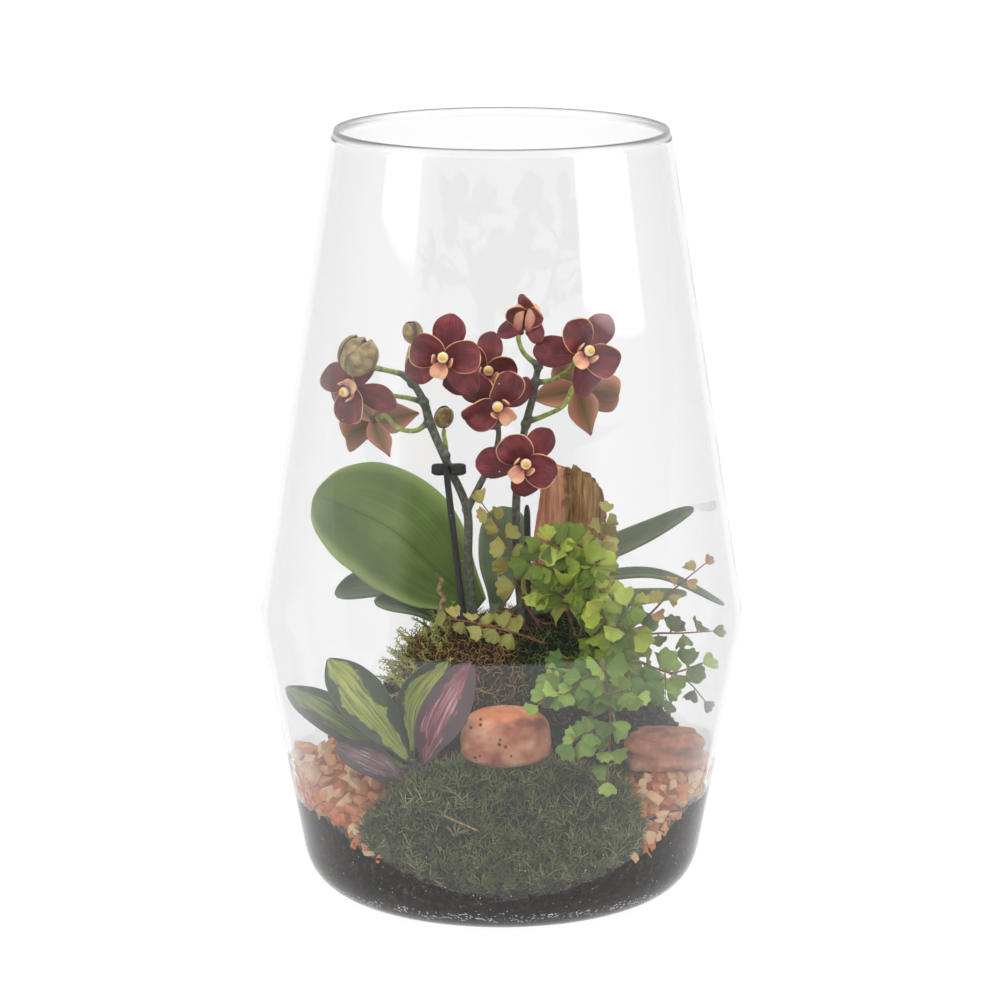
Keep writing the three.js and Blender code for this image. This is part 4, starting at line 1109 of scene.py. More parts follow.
# %% Split pine and its bark
# Dry wood, quite matt. The grain's fibres are about 1 mm wide and run upright, so the noise is stretched 14
# times.
split_pine, tree, shader = new_finish("split_pine_and_bark", Roughness=0.85, Specular_IOR_Level=0.25)
place = add(tree, "TexCoord", out=OWN_PLACE)
fibres = add(
    tree, "TexNoise",
    Vector=add(tree, "Mapping", Vector=place, Scale=(1, 1, 0.07)), Scale=800, Detail=4,
    Roughness=0.6,
)
broad = add(
    tree, "TexNoise",
    Vector=add(tree, "Mapping", Vector=place, Scale=(1, 1, 0.2)), Scale=160, Detail=4,
    Roughness=0.6,
)
streaks = add(
    tree, "Math", MULTIPLY_ADD, _0=fibres, _1=0.5, _2=add(tree, "Math", MULTIPLY, _0=broad, _1=0.5)
)
wood = add(
    tree, "ValToRGB",
    {"stops": ((0.34, "8a4a34"), (0.44, "c07f60"), (0.55, "d89a79"), (0.68, "ecc0a2"))},
    Fac=streaks,
)
rough_bark = add(
    tree, "ValToRGB",
    {"stops": ((0.34, "2e1f14"), (0.44, "6b4c30"), (0.56, "96734c"), (0.7, "c2a076"))},
    Fac=streaks,
)
corner = add(tree, "SeparateXYZ", out=None, Vector=place)
wander = add(tree, "TexNoise", Vector=place, Scale=70, Detail=4, Roughness=0.6)
edge = add(tree, "Math", MULTIPLY_ADD, _0=wander, _1=0.016, _2=corner.outputs["X"])
right_share = add(tree, "MapRange", Value=edge, _1=0.040, _2=0.0425, _3=0.0, _4=1.0)
low = add(tree, "Math", MULTIPLY_ADD, _0=wander, _1=0.03, _2=corner.outputs["Z"])
low_share = add(tree, "MapRange", Value=low, _1=0.158, _2=0.162, _3=1.0, _4=0.0)
bark_share = add(tree, "Math", MAXIMUM, _0=right_share, _1=low_share)
wire(shader, Base_Color=add(tree, "Mix", MIX_COLOURS, out=MIXED, _0=bark_share, _6=wood, _7=rough_bark))
wire(shader, Normal=add(tree, "Bump", Height=streaks, Strength=0.7, Distance=0.0015))

# %% Shaping the bark
bark_foot = np.array([37, 30, 106.4])
bpy.ops.object.select_all(action="DESELECT")
bpy.ops.mesh.primitive_cylinder_add(vertices=110, radius=1, depth=2, end_fill_type="TRIFAN")
bark = bpy.context.object
bpy.ops.object.mode_set(mode="EDIT")
bpy.ops.mesh.select_all(action="SELECT")
for height in np.linspace(-0.96, 0.98, 74):
    bpy.ops.mesh.select_all(action="SELECT")
    bpy.ops.mesh.bisect(plane_co=(0, 0, float(height)), plane_no=(0, 0, 1))
bpy.ops.mesh.select_all(action="DESELECT")
bpy.ops.object.mode_set(mode="OBJECT")
flat = points_of(bark)
level, angle = (flat[:, 2] + 1) / 2, np.arctan2(flat[:, 1], flat[:, 0])
core = np.hypot(flat[:, 0], flat[:, 1])
tier = np.interp(level, [0, 0.25, 0.5, 0.75, 0.93, 1], range(6))
taper = lerp(1.04, 0.8, level**3) * (1 + 0.04 * np.sin(2.1 * tier + 3 * angle))
ridged = np.stack([21 * np.cos(angle) * 1.6, 9.5 * np.sin(angle) * 1.6, level * 14], axis=1)
fissure = roughness_at(ridged, 3.2, 8, 3)
roughness_here = smoothstep(np.cos(angle) * 21, -6, 2)
splinters = 0.035 * roughness_at(
    np.stack([30 * np.cos(angle), 30 * np.sin(angle), level * 5], axis=1), 1.6, 12, 2
)
depth = 0.94 + 0.07 * fissure * lerp(0.3, 1.7, roughness_here) + splinters
x, y = (21 * taper * depth * core * np.cos(angle), 9.5 * taper * depth * core * np.sin(angle))
top_share = smoothstep(level, 0.6, 1)
torn = 4.6 * roughness_at(np.stack([x, y, 0 * x], axis=1), 1.7, 9, 3)
slope = np.interp(x, [-21, -15, -9, -5, -1, 4, 12, 17, 21], [-3, 2, 3, -4, 1, 1, -5, -11, -20])
z = level * 108 + (torn + slope) * top_share
move_points(bark, np.stack([x, y, z], axis=1) + bark_foot)
bark.data.materials.append(split_pine)
hand_over(bark, "split_pine_bark", "bark", "bark_chunk", angle=50)

# %% [markdown]
# ## The orchid's leaves
# Moth orchid leaves are thick, smooth and leathery, with one groove down the middle and faint parallel
# veins. A grid is laid along the leaf's line, cupped a little, given 1.6 mm of thickness, and rounded by
# one level of subdivision.

# %% Leathery leaf
# Waxy and half glossy. Veins run lengthwise, so the noise is read on the leaf's own map and stretched along
# it. The leaves at the back and low down take a darker, greyer and duller copy: they are older, and its
# darker colour is also painted shade for their place behind and below the others.
leathery = {}
for age, stops, edge_code, rib_code, gloss in (
    ("young", ((0.36, "3f5219"), (0.52, "4f6524"), (0.68, "627934")), "8a9c5c", "334518", 0.42),
    ("old_and_painted_shade", ((0.36, "37442a"), (0.52, "475637"), (0.68, "5a6948")), "64734f", "2e3a22", 0.48),
):
    material, tree, shader = new_finish(age + "_leathery_orchid_leaf", Roughness=gloss)
    chart = add(tree, "UVMap")
    veins = add(
        tree, "TexNoise", Vector=add(tree, "Mapping", Vector=chart, Scale=(26, 0.8, 1)), Scale=1.6, Detail=3
    )
    chart_axes = add(tree, "SeparateXYZ", out=None, Vector=chart)
    off_middle = add(
        tree, "Math", ABSOLUTE, _0=add(tree, "Math", SUBTRACT, _0=chart_axes.outputs["X"], _1=0.5)
    )
    groove_relief_and_painted_shade = add(tree, "MapRange", SMOOTH, Value=off_middle, _1=0.0, _2=0.016, _3=0.8, _4=0.0)
    margin = add(tree, "MapRange", SMOOTH, Value=off_middle, _1=0.36, _2=0.5, _3=0.0, _4=0.8)
    place = add(tree, "TexCoord", out=OWN_PLACE)
    cloud = add(tree, "TexNoise", Vector=place, Scale=35, Detail=3)
    green = add(
        tree, "Math", MULTIPLY_ADD, _0=veins, _1=0.35, _2=add(tree, "Math", MULTIPLY, _0=cloud, _1=0.65)
    )
    edged = add(
        tree, "Mix", MIX_COLOURS, out=MIXED, _0=margin,
        _6=add(tree, "ValToRGB", {"stops": stops}, Fac=green), _7=colour(edge_code),
    )
    # Painted shade: the midrib groove is coloured darker, as where shade falls in the crease.
    leaf_colour_with_painted_groove_shade = add(tree, "Mix", MIX_COLOURS, out=MIXED, _0=groove_relief_and_painted_shade, _6=edged, _7=colour(rib_code))
    wire(shader, Base_Color=leaf_colour_with_painted_groove_shade)
    relief = add(tree, "Math", SUBTRACT, _0=add(tree, "Math", MULTIPLY, _0=veins, _1=0.3), _1=groove_relief_and_painted_shade)
    wire(shader, Normal=add(tree, "Bump", Height=relief, Strength=0.12, Distance=0.0006))
    leathery[age] = material

# %% Laying out the leaves
broad = [(0, 0.16), (0.12, 0.42), (0.3, 0.8), (0.52, 1), (0.74, 0.96), (0.9, 0.68), (0.97, 0.4), (1, 0.1)]
strap = [(0, 0.22), (0.16, 0.42), (0.42, 0.92), (0.7, 1), (0.88, 0.78), (0.97, 0.42), (1, 0.1)]
leaf_lines = {
    "large": (
        [(-11, 3, 148), (-32, 5, 165), (-58, 9, 188), (-98, 13, 206)], broad, 31, (-0.3, -0.86, 0.42),
        (-0.1, -0.8, 0.6), 0.1,
    ),
    "left_back": (
        [(-12, 13, 147), (-35, 26, 153), (-62, 33, 153), (-89, 38, 147)], strap, 15,
        (0.1, -0.45, 0.9), (-0.2, -0.3, 0.9), 0.18,
    ),
    "left_low": (
        [(-11, 7, 137), (-32, 11, 138), (-50, 5, 147), (-66, -2, 151)], strap, 10, (0.1, -0.2, 0.95),
        (0.3, -0.3, 0.9), 0.25,
    ),
    "right_upper": (
        [(1, 16, 147), (10, 56, 150), (50, 67, 160), (80, 62, 174), (104, 50, 190)],
        strap, 9.5, (-0.3, -0.3, 0.85), (-0.4, -0.45, 0.7), 0.2,
    ),
    "right_middle": (
        [(5, 6, 145), (38, 8, 158), (80, 10, 163), (117, 2, 149)], strap, 7.5, (-0.2, -0.05, 0.97),
        (0.3, -0.05, 0.95), 0.2,
    ),
    "right_low": (
        [(6, 0, 141), (32, -4, 151), (64, -12, 155), (96, -14, 159)], strap, 8.5, (-0.1, -0.3, 0.94),
        (-0.1, -0.25, 0.95), 0.18,
    ),
}


def folded(a, u, reach):
    """The groove down the middle, and a slight wave of the margins."""
    return -0.5 * np.exp(-((a / 0.07) ** 2)) * smoothstep(1 - u, 0.02, 0.3) + 0.5 * np.sin(9 * u) * a**3


for leaf, (line, outline, half, faces, faces_tip, cup) in leaf_lines.items():
    piece = sheet(26, 40, leaf_form(line, outline, half, faces, faces_tip, cup, folded))
    # Every leaf but the large one in front takes the darker copy, whose colour is partly painted shade.
    thicken(piece, 1.6, [leathery["young" if leaf == "large" else "old_and_painted_shade"]])
    fit_in_glass(piece)
    hand_over(piece, "leathery_leaf_" + leaf, "orchid_leaf", "orchid_leaf_" + leaf)

crown_leaf = sheet(
    20, 30,
    leaf_form(
        [(-3, 7, 142), (-1, 22, 160), (1, 42, 176), (3, 62, 188)], strap, 13, (0.1, -0.8, 0.5),
        (0.1, -0.4, 0.9), 0.15, folded,
    ),
)
thicken(crown_leaf, 1.6, [leathery["old_and_painted_shade"]])
stub = tube([(-3, 4, 118), (-3, 4, 140), (-2.5, 5, 149)], [6, 6, 3], sides=16, cuts=8)
stub.data.materials.append(leathery["old_and_painted_shade"])
crown = join([crown_leaf, stub])
hand_over(crown, "leathery_crown", "orchid_leaf", "orchid_crown")

# %% [markdown]
# ## Stems, sticks and clip
# Two flower stems rise from the crown, tied to thin black sticks. The stems are dark grey-green with
# swollen joints where each side stalk leaves, and the stalks that carry the flowers are yellow-green. Tubes
# are laid along the solids' own lines, joined, and melted together by a fine remesh, so that each joint has
# a soft fork.

# %% The flowers' places
tepal_length = 20.5
flowers = {
    "far_left": ((-76, -8, 266), (-0.5, -0.86, 0), 205, 1.0, 1.0),
    "left_back": ((-67, 10, 246), (-0.72, 0.6, -0.35), 140, 1.05, 1.0),
    "upper_left": ((-29, -28, 286), (-0.12, -0.99, 0.02), 79, 1.05, 1.0),
    "centre_back": ((-9, 6, 272), (0.25, -0.96, 0.12), 70, 1.0, 1.0),
    "centre": ((-3, -13, 260), (0.25, -0.94, -0.22), 140, 1.05, 1.0),
    "lower_right": ((11, -25, 231), (0.08, -0.99, -0.05), 52, 1.04, 1.0),
    "upper_right": ((42, -16, 287), (0.25, -0.96, 0.1), 46, 1.06, 1.0),
    "right_back": ((40, 13, 262), (0.3, 0.93, -0.2), 60, 1.12, 1.0),
    "top": ((14, 1, 300.5), (-0.3, -0.93, 0.2), 84, 0.83, 0.35),
}


def axes_of(flower):
    """A flower's middle, the way it looks, the way its topmost tepal points, and the way across."""
    centre, faces, dorsal, _, _ = flowers[flower]
    out = unit(faces)
    up = np.array([math.cos(math.radians(dorsal)), 0, math.sin(math.radians(dorsal))])
    up = unit(up - out * up.dot(out))
    return np.array(centre, float), out, up, np.cross(up, out)


# %% Green and dark stem
# Smooth skin with a waxy bloom: half matt. The side stalks carry the tone 1 and the stems 0.
stem_skin, tree, shader = new_finish("flower_stem_skin", Roughness=0.5)
tone = add(tree, "Attribute", TONE, out=FACTOR)
place = add(tree, "TexCoord", out=OWN_PLACE)
speckle = add(tree, "TexNoise", Vector=place, Scale=420, Detail=3)
dark = add(tree, "ValToRGB", {"stops": ((0.35, "3c3f34"), (0.55, "54574a"), (0.75, "747866"))}, Fac=speckle)
light = add(
    tree, "ValToRGB", {"stops": ((0.35, "6f7a34"), (0.55, "93a050"), (0.75, "a9b36a"))}, Fac=speckle
)
wire(shader, Base_Color=add(tree, "Mix", MIX_COLOURS, out=MIXED, _0=tone, _6=dark, _7=light))
wire(shader, Normal=add(tree, "Bump", Height=speckle, Strength=0.15, Distance=0.0004))


# %% Growing the stems
def stalk(start, through, flower):
    """A side stalk's line and radii. It ends behind the flower and comes to it from the back."""
    radius = 1.05
    centre, out, _, _ = axes_of(flower)
    size = flowers[flower][3]
    line = [start, *through, centre - out * 9 * size, centre - out * 3.4]
    return line, [radius * 1.3, radius, radius * 0.95, radius, radius * 1.45]


def thicker(radii):
    """The grown stem is a third fuller than its solid, as its skin swells between the joints."""
    return [radius * 1.3 for radius in radii]


main_left = [
    (-13.5, -10, 112), (-15, -10, 147), (-17.4, -8, 175), (-18, -5, 202), (-28, -5, 226), (-37, -3, 247.5),
    (-40, -3, 258), (-45.6, -2, 267.5), (-52, -2, 273),
]
main_right = [
    (11, -7, 112), (10.8, -7, 146), (8, -3, 174), (7.5, 1, 200), (9.4, 3, 226), (12.6, 4, 245),
    (16.2, 4, 259), (18.8, 3, 274), (21, 4, 280),
]
stem_lines = {
    "left": (
        [
            (main_left, [2.3, 2.2, 2, 1.8, 1.7, 1.9, 1.3]),
            (
                [
                    (-18, -6, 201), (-12.2, -8, 213.5), (-7, -7, 224), (-2, 3, 235), (-2, 12, 245),
                    (-6, 19, 255),
                ],
                [1.6, 1.4, 1.3, 1.1, 0.9],
            ),
        ],
        [
            ([(-29, -4, 230), (-29, 2, 235), (-30, 9, 238), (-30, 12.8, 240.2)], [1.3, 1, 1]),
            ([(-51, -2, 272.6), (-56, -8, 275), (-61, -15, 277.5), (-65.5, -20, 279.5)], [1.3, 1.1, 1.3]),
            ([(-47, -2, 269), (-49, 3, 276), (-47.5, 6.4, 283), (-46.6, 7, 285.6)], [1.1, 0.9, 1.1]),
            stalk((-40, -3, 258), [(-49, 4, 259), (-60, 8, 260)], "far_left"),
            stalk((-37.5, -3, 248), [(-44, -5, 243.5), (-54, 0, 244)], "left_back"),
            stalk((-45, -2.4, 266.5), [(-39, -5, 276)], "upper_left"),
            stalk((-5.6, 18, 254), [(-11, 21, 262)], "centre_back"),
            stalk((-2, 9.5, 241.5), [(-5, 4, 251)], "centre"),
            stalk((-7.5, -7.4, 223), [(1, -10, 228)], "lower_right"),
        ],
        [
            (-18, -5, 202), (-29, -4.6, 230), (-37.4, -3, 248), (-40, -3, 258), (-46, -2, 268),
            (-7.4, -7, 223),
        ],
    ),
    "right": (
        [(main_right, [2.2, 2.1, 1.9, 1.8, 1.6, 1.6, 1.3])],
        [
            stalk((18.6, 3, 276), [(11, 6, 283), (9, 10, 291)], "top"),
            stalk((17.5, 3, 267), [(27, -3, 270), (36, -6, 277)], "upper_right"),
            stalk((12.8, 4, 246), [(22, 1, 250), (32, -2, 256)], "right_back"),
        ],
        [(9.4, 3, 226), (12.6, 4, 245), (17.4, 3.4, 267), (19, 3, 276)],
    ),
}
for side_name, (mains, sides, joints) in stem_lines.items():
    parts = [tube(line, thicker(radii), sides=12, cuts=60) for line, radii in mains]
    parts += [tube(line, thicker(radii), sides=10, cuts=24) for line, radii in sides]
    parts += [ball(3, lambda p, at=at: p * [2.8, 2.8, 3.1] + at) for at in joints]
    stem = modify(join(parts), "REMESH", mode="VOXEL", voxel_size=0.55 * mm)
    modify(stem, "SMOOTH", factor=0.5, iterations=3)
    middle_lines = np.vstack([smooth_line(line, np.linspace(0, 1, 120))[0] for line, _ in mains])
    apart = np.array(
        [np.sqrt(np.min(np.sum((middle_lines - p) ** 2, axis=1))) for p in points_of(stem) / mm]
    )
    set_tone(stem, smoothstep(apart, 3.0, 7.0))
    stem.data.materials.append(stem_skin)
    hand_over(stem, "stem_" + side_name + "_grown", "plant_stem", "flower_stem_" + side_name)

# %% Black plastic
# Extruded and moulded polypropylene: black, half glossy, with faint lengthwise drawing lines.
black_plastic, tree, shader = new_finish("moulded_black_polypropylene", Roughness=0.42, IOR=1.49)
place = add(tree, "TexCoord", out=OWN_PLACE)
lines = add(
    tree, "TexNoise", Vector=add(tree, "Mapping", Vector=place, Scale=(1, 1, 0.03)), Scale=1500, Detail=2
)
wire(shader, Base_Color=add(tree, "ValToRGB", {"stops": ((0.3, "0d0e0d"), (0.7, "1e201d"))}, Fac=lines))
wire(shader, Normal=add(tree, "Bump", Height=lines, Strength=0.2, Distance=0.0003))

# %% Sticks and clip
stick_lines = {
    "left": [(-15.5, -18, 110), (-28.8, -13, 227)], "right": [(14.5, -12.5, 110), (13.2, -9, 205)]
}
for side_name, (foot, top) in stick_lines.items():
    way = unit(np.array(top) - np.array(foot))
    line = [foot, tuple(lerp(np.array(foot), np.array(top), 0.5)), top]
    rod = tube(
        line, [1.7] * 40 + [1.66, 1.45, 0.7], sides=18, cuts=60, relief=lambda u,
        a: 1 + 0.02 * np.cos(6 * a),
    )
    rod.data.materials.append(black_plastic)
    hand_over(rod, "stick_" + side_name, "black_stake", "stake_" + side_name, angle=50)

clip = copy_of_solid("stem_clip", 0.45)
low, high = (np.array(v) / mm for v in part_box("stem_clip"))
middle, reach = (low + high) / 2, (high - low) / 2
jaws = [
    tube(
        [
            middle + reach * [s, -0.3, 0.1], middle + reach * [0.55 * s, -0.3, 0],
            middle + reach * [0.1 * s, -0.3, 0],
        ],
        [2.2, 3.1, 3.3, 3.0, 2.2], sides=16, cuts=12,
    )
    for s in (-1, 1)
]
clip = modify(join([clip, *jaws]), "REMESH", mode="VOXEL", voxel_size=0.4 * mm)
modify(clip, "SMOOTH", factor=0.5, iterations=4)
clip.data.materials.clear()
clip.data.materials.append(black_plastic)
hand_over(clip, "clip_of_black_plastic", "black_stake", "stem_clip", angle=50)

# %% [markdown]
# ## The flowers
# Each flower has three narrow outer tepals and two broader inner ones, all thick and velvety, deep maroon
# in front and olive-peach behind, with a thin yellow margin. Every tepal is its own grid, cupped and waved
# a little differently. Solidify gives the back and the rim finishes of their own.

# %% Tepal finishes
# Velvet over waxy flesh: soft sheen and no hard gloss. Veins are lengthwise. The inner tepals, the petals,
# have a margin that is a 0.6 mm cream line; on the outer ones, the sepals, it is faint.
velvets = {}
for kind, margin_share, margin_code in (("sepal", 0.25, "94503c"), ("petal", 0.9, "cf9a6c")):
    velvets[kind], tree, shader = new_finish(
        "velvet_maroon_" + kind, Roughness=0.46, Sheen_Weight=0.25, Sheen_Roughness=0.4,
        Subsurface_Weight=0.08, Subsurface_Scale=0.001,
    )
    shader.inputs["Sheen Tint"].default_value = colour("c98a86")
    chart = add(tree, "UVMap")
    chart_axes = add(tree, "SeparateXYZ", out=None, Vector=chart)
    off_middle = add(
        tree, "Math", ABSOLUTE, _0=add(tree, "Math", SUBTRACT, _0=chart_axes.outputs["X"], _1=0.5)
    )
    veins = add(
        tree, "TexNoise", Vector=add(tree, "Mapping", Vector=chart, Scale=(16, 1.0, 1)), Scale=2.0, Detail=3
    )
    place = add(tree, "TexCoord", out=OWN_PLACE)
    cloud = add(tree, "TexNoise", Vector=place, Scale=140, Detail=3)
    mix = add(
        tree, "Math", MULTIPLY_ADD, _0=veins, _1=0.45, _2=add(tree, "Math", MULTIPLY, _0=cloud, _1=0.55)
    )
    maroon = add(
        tree, "ValToRGB", {"stops": ((0.34, "3f1016"), (0.48, "5e1e26"), (0.64, "86363b"))}, Fac=mix
    )
    side_edge = add(tree, "MapRange", SMOOTH, Value=off_middle, _1=0.462, _2=0.492, _3=0.0, _4=1.0)
    tip_edge = add(
        tree, "MapRange", SMOOTH, Value=chart_axes.outputs["Y"], _1=0.962, _2=0.99, _3=0.0, _4=1.0
    )
    edge = add(tree, "Math", MAXIMUM, _0=side_edge, _1=tip_edge)
    worn = add(
        tree, "MapRange",
        Value=add(tree, "TexNoise", Vector=place, Scale=90, Detail=2), _1=0.38, _2=0.56,
        _3=0.15, _4=1.0,
    )
    edge = add(tree, "Math", MULTIPLY, _0=edge, _1=add(tree, "Math", MULTIPLY, _0=worn, _1=margin_share))
    wire(
        shader,
        Base_Color=add(tree, "Mix", MIX_COLOURS, out=MIXED, _0=edge, _6=maroon, _7=colour(margin_code)),
    )
    wire(shader, Normal=add(tree, "Bump", Height=mix, Strength=0.35, Distance=0.0007))

tepal_back, tree, shader = new_finish(
    "olive_peach_tepal_back", Roughness=0.5, Subsurface_Weight=0.08, Subsurface_Scale=0.001
)
chart = add(tree, "UVMap")
chart_axes = add(tree, "SeparateXYZ", out=None, Vector=chart)
off_middle = add(tree, "Math", ABSOLUTE, _0=add(tree, "Math", SUBTRACT, _0=chart_axes.outputs["X"], _1=0.5))
veins = add(
    tree, "TexNoise", Vector=add(tree, "Mapping", Vector=chart, Scale=(14, 1.0, 1)), Scale=2.0, Detail=3
)
band = add(tree, "Math", MULTIPLY_ADD, _0=veins, _1=0.5, _2=off_middle)
wire(
    shader,
    Base_Color=add(
        tree, "ValToRGB",
        {"stops": ((0.22, "5d5430"), (0.36, "7f5c3c"), (0.52, "9a6450"), (0.72, "b27f62"))},
        Fac=band,
    ),
)
wire(shader, Normal=add(tree, "Bump", Height=veins, Strength=0.3, Distance=0.0006))

rims = {}
for kind, darker, lighter in (("sepal", "7a3a30", "a86a50"), ("petal", "c08a58", "e2bd88")):
    rims[kind], tree, shader = new_finish(kind + "_margin", Roughness=0.5)
    place = add(tree, "TexCoord", out=OWN_PLACE)
    wire(
        shader,
        Base_Color=add(
            tree, "ValToRGB", {"stops": ((0.35, darker), (0.65, lighter))},
            Fac=add(tree, "TexNoise", Vector=place, Scale=300, Detail=2),
        ),
    )

# %% Lip finishes
# The lip is soft flesh: peach, freckled with maroon near its foot. The column is cream with a waxy yellow
# cap.
peach_lip, tree, shader = new_finish(
    "peach_orchid_lip", Roughness=0.45, Subsurface_Weight=0.15, Subsurface_Scale=0.001
)
place = add(tree, "TexCoord", out=OWN_PLACE)
rise = add(tree, "UVMap")
lip_axes = add(tree, "SeparateXYZ", out=None, Vector=rise)
mottle = add(tree, "TexNoise", Vector=place, Scale=500, Detail=2)
shade = add(tree, "Math", MULTIPLY_ADD, _0=mottle, _1=0.5, _2=lip_axes.outputs["Y"])
wire(
    shader,
    Base_Color=add(
        tree, "ValToRGB",
        {"stops": ((0.3, "5e2024"), (0.46, "ad6a58"), (0.75, "cf927a"), (1.0, "dcae88"))},
        Fac=shade,
    ),
)

cream_column, tree, shader = new_finish(
    "cream_orchid_column", Roughness=0.4, Subsurface_Weight=0.15, Subsurface_Scale=0.001
)
tone = add(tree, "Attribute", TONE, out=FACTOR)
wire(
    shader,
    Base_Color=add(
        tree, "ValToRGB",
        {"stops": ((0.0, "7c3a36"), (0.2, "d6b592"), (0.55, "ecdfc6"), (0.85, "f2e2b8"), (0.97, "e6b24e"))},
        Fac=tone,
    ),
)

# %% Modelling tepals
sepal_outline = [(0, 0.26), (0.2, 0.64), (0.42, 0.92), (0.62, 1), (0.8, 0.86), (0.93, 0.5), (1, 0.08)]
petal_outline = [(0, 0.28), (0.16, 0.66), (0.36, 0.96), (0.6, 1.07), (0.82, 0.95), (0.95, 0.6), (1, 0.14)]
pointed_outline = [(0, 0.3), (0.2, 0.8), (0.42, 1.02), (0.62, 0.82), (0.8, 0.46), (0.92, 0.2), (1, 0.05)]
tepal_plan = [
    (0, 1.03, 0.38, -6), (72, 0.90, 0.40, 20), (-72, 0.90, 0.40, 20), (131, 1.15, 0.365, -12),
    (-131, 1.15, 0.365, -12),
]


def tepal(flower, angle, length, half, lean, draw):
    centre, out, up, across = axes_of(flower)
    size, openness = flowers[flower][3:]
    scale = tepal_length * size
    inner = abs(angle) == 72
    outline = petal_outline if inner else (pointed_outline if out[1] > 0 else sepal_outline)
    angle += draw.uniform(-5, 5)
    length *= draw.uniform(0.95, 1.06)
    away = up * math.cos(math.radians(angle)) - across * math.sin(math.radians(angle))
    tilt = math.radians(lerp(74, lean, openness))

    def reach(distance, bend):
        way = away * math.cos(tilt + bend) + out * math.sin(tilt + bend)
        return centre + way * distance * scale * length

    normal = out * math.cos(tilt) - away * math.sin(tilt)
    wave, phase, twist = draw.uniform(0.5, 1.3), draw.uniform(0, 6), draw.uniform(-0.3, 0.3)
    tilt += draw.uniform(-0.12, 0.12)
    curl_back = draw.uniform(-0.1, 0.2)
    half *= draw.uniform(0.92, 1.08)

    def relief(a, u, width):
        crease = -0.45 * np.exp(-((a / 0.1) ** 2)) * (1 - u)
        return crease + wave * np.sin(5 * u + phase) * a * np.abs(a) + twist * width * a * u

    return sheet(
        12, 14,
        leaf_form(
            [reach(0.02, 0), reach(0.55, 0.06 if inner else 0.02), reach(1, -0.06 - curl_back)],
            outline, half * scale * (0.8 if openness < 1 else 1),
            normal, None, 0.34 if inner else -0.12, relief,
        ),
    )


# %% Modelling the lip and the column
def lip_parts(flower):
    centre, out, up, across = axes_of(flower)
    size = flowers[flower][3]

    def at(forward, rise, aside=0.0):
        return centre + (out * forward + up * rise + across * aside) * size

    if flowers[flower][4] < 1:
        # The topmost flower is only half open: two swollen halves of its lip stand side by side in the gap.
        halves = []
        for turn in (-1, 1):
            half_lip = sheet(
                10, 12,
                leaf_form([
                    at(3, -10, 1.6 * turn), at(8.5, -6, 5.0 * turn), at(9.8, 3, 5.6 * turn),
                    at(7.5, 10.5, 4.4 * turn),
                ],
                          [
                              (0, 0.3), (0.25, 0.8), (0.6, 1), (0.88, 0.75), (1, 0.2)
                          ], 4.6 * size, out + across * 0.35 * turn, None, -0.55, None),
            )
            halves.append(thicken(half_lip, 0.9, [peach_lip]))
        return halves
    swing = 1.3 * math.sin(17 * centre[0])
    middle_lobe = sheet(
        10, 10,
        leaf_form([
            at(4.4, -0.5), at(6.6, -3.2, 0.4 * swing), at(9.4, -6.0, swing), at(9.4, -8.8, 1.6 * swing)
        ], [(0, 0.3), (0.35, 0.6), (0.7, 1), (0.92, 0.75), (1, 0.3)],
                  4.4 * size, out, None, 0.6, lambda a, u, r: 0.5 * np.sin(6 * a) * u),
    )
    thicken(middle_lobe, 0.9, [peach_lip])
    parts = [middle_lobe]
    for turn in (-1, 1):
        ear = sheet(
            8, 8,
            leaf_form([
                at(4.6, -2, 2.2 * turn), at(6.6, -1.2, 4.6 * turn), at(9.2, 1.6, 4.9 * turn)
            ], [(0, 0.5), (0.5, 1), (0.85, 0.8), (1, 0.25)],
                      2.2 * size, -across * turn + out * 0.25, None, 0.3, None),
        )
        thicken(ear, 0.8, [peach_lip])
        parts.append(ear)
    column_line = [at(3.6, 0.2), at(6.4, 1.0), at(8.8, 1.4), at(10.2, 0.7)]
    column_radii = np.array([1.6, 1.9, 2.6, 2.7, 1.9, 0.4]) * size
    column = tube(column_line, column_radii, sides=14, cuts=16)
    rise = np.sum((points_of(column) / mm - centre) * out, axis=1) / (10.4 * size)
    set_tone(column, smoothstep(rise, 0.3, 1.0))
    column.data.materials.append(cream_column)
    return parts + [column]


# %% Putting the flowers together
for k, flower in enumerate(flowers):
    draw = np.random.default_rng(60 + k)
    parts = []
    for plan in tepal_plan:
        kind = "petal" if abs(plan[0]) == 72 else "sepal"
        parts.append(thicken(tepal(flower, *plan, draw), 0.8, [velvets[kind], tepal_back, rims[kind]]))
    centre, out, _, _ = axes_of(flower)
    hub = ball(3, lambda p: p * 2.4 + centre)
    hub.data.materials.append(velvets["sepal"])
    bloom = join(parts + [hub])
    fit_in_glass(bloom)
    hand_over(bloom, "maroon_flower_" + flower, "tepal", "bloom_" + flower)
    lip = join(lip_parts(flower))
    hand_over(lip, "peach_lip_" + flower, "lip", "lip_" + flower)

# %% [markdown]
# ## The buds
# A bud is an egg of folded tepals, each of which overlaps the next from foot to tip. A ball makes the egg.
# Three or six thick cupped sheets are wrapped round it, and each lifts a little at one edge, which shows
# the seams.

# %% Bud skin
# Waxy and half matt: olive-yellow with brown veins, flushed maroon toward the seams.
bud_skin, tree, shader = new_finish(
    "olive_bud_skin", Roughness=0.45, Subsurface_Weight=0.08, Subsurface_Scale=0.001
)
seam = add(tree, "Attribute", TONE, out=FACTOR)
place = add(tree, "TexCoord", out=OWN_PLACE)
mottle = add(tree, "TexNoise", Vector=place, Scale=260, Detail=4)
flesh = add(tree, "ValToRGB", {"stops": ((0.35, "695536"), (0.5, "8b784e"), (0.68, "aa9b6c"))}, Fac=mottle)
flushed = add(tree, "Mix", MIX_COLOURS, out=MIXED, _0=seam, _6=flesh, _7=colour("55382a"))
wire(shader, Base_Color=flushed)
wire(shader, Normal=add(tree, "Bump", Height=mottle, Strength=0.3, Distance=0.0006))

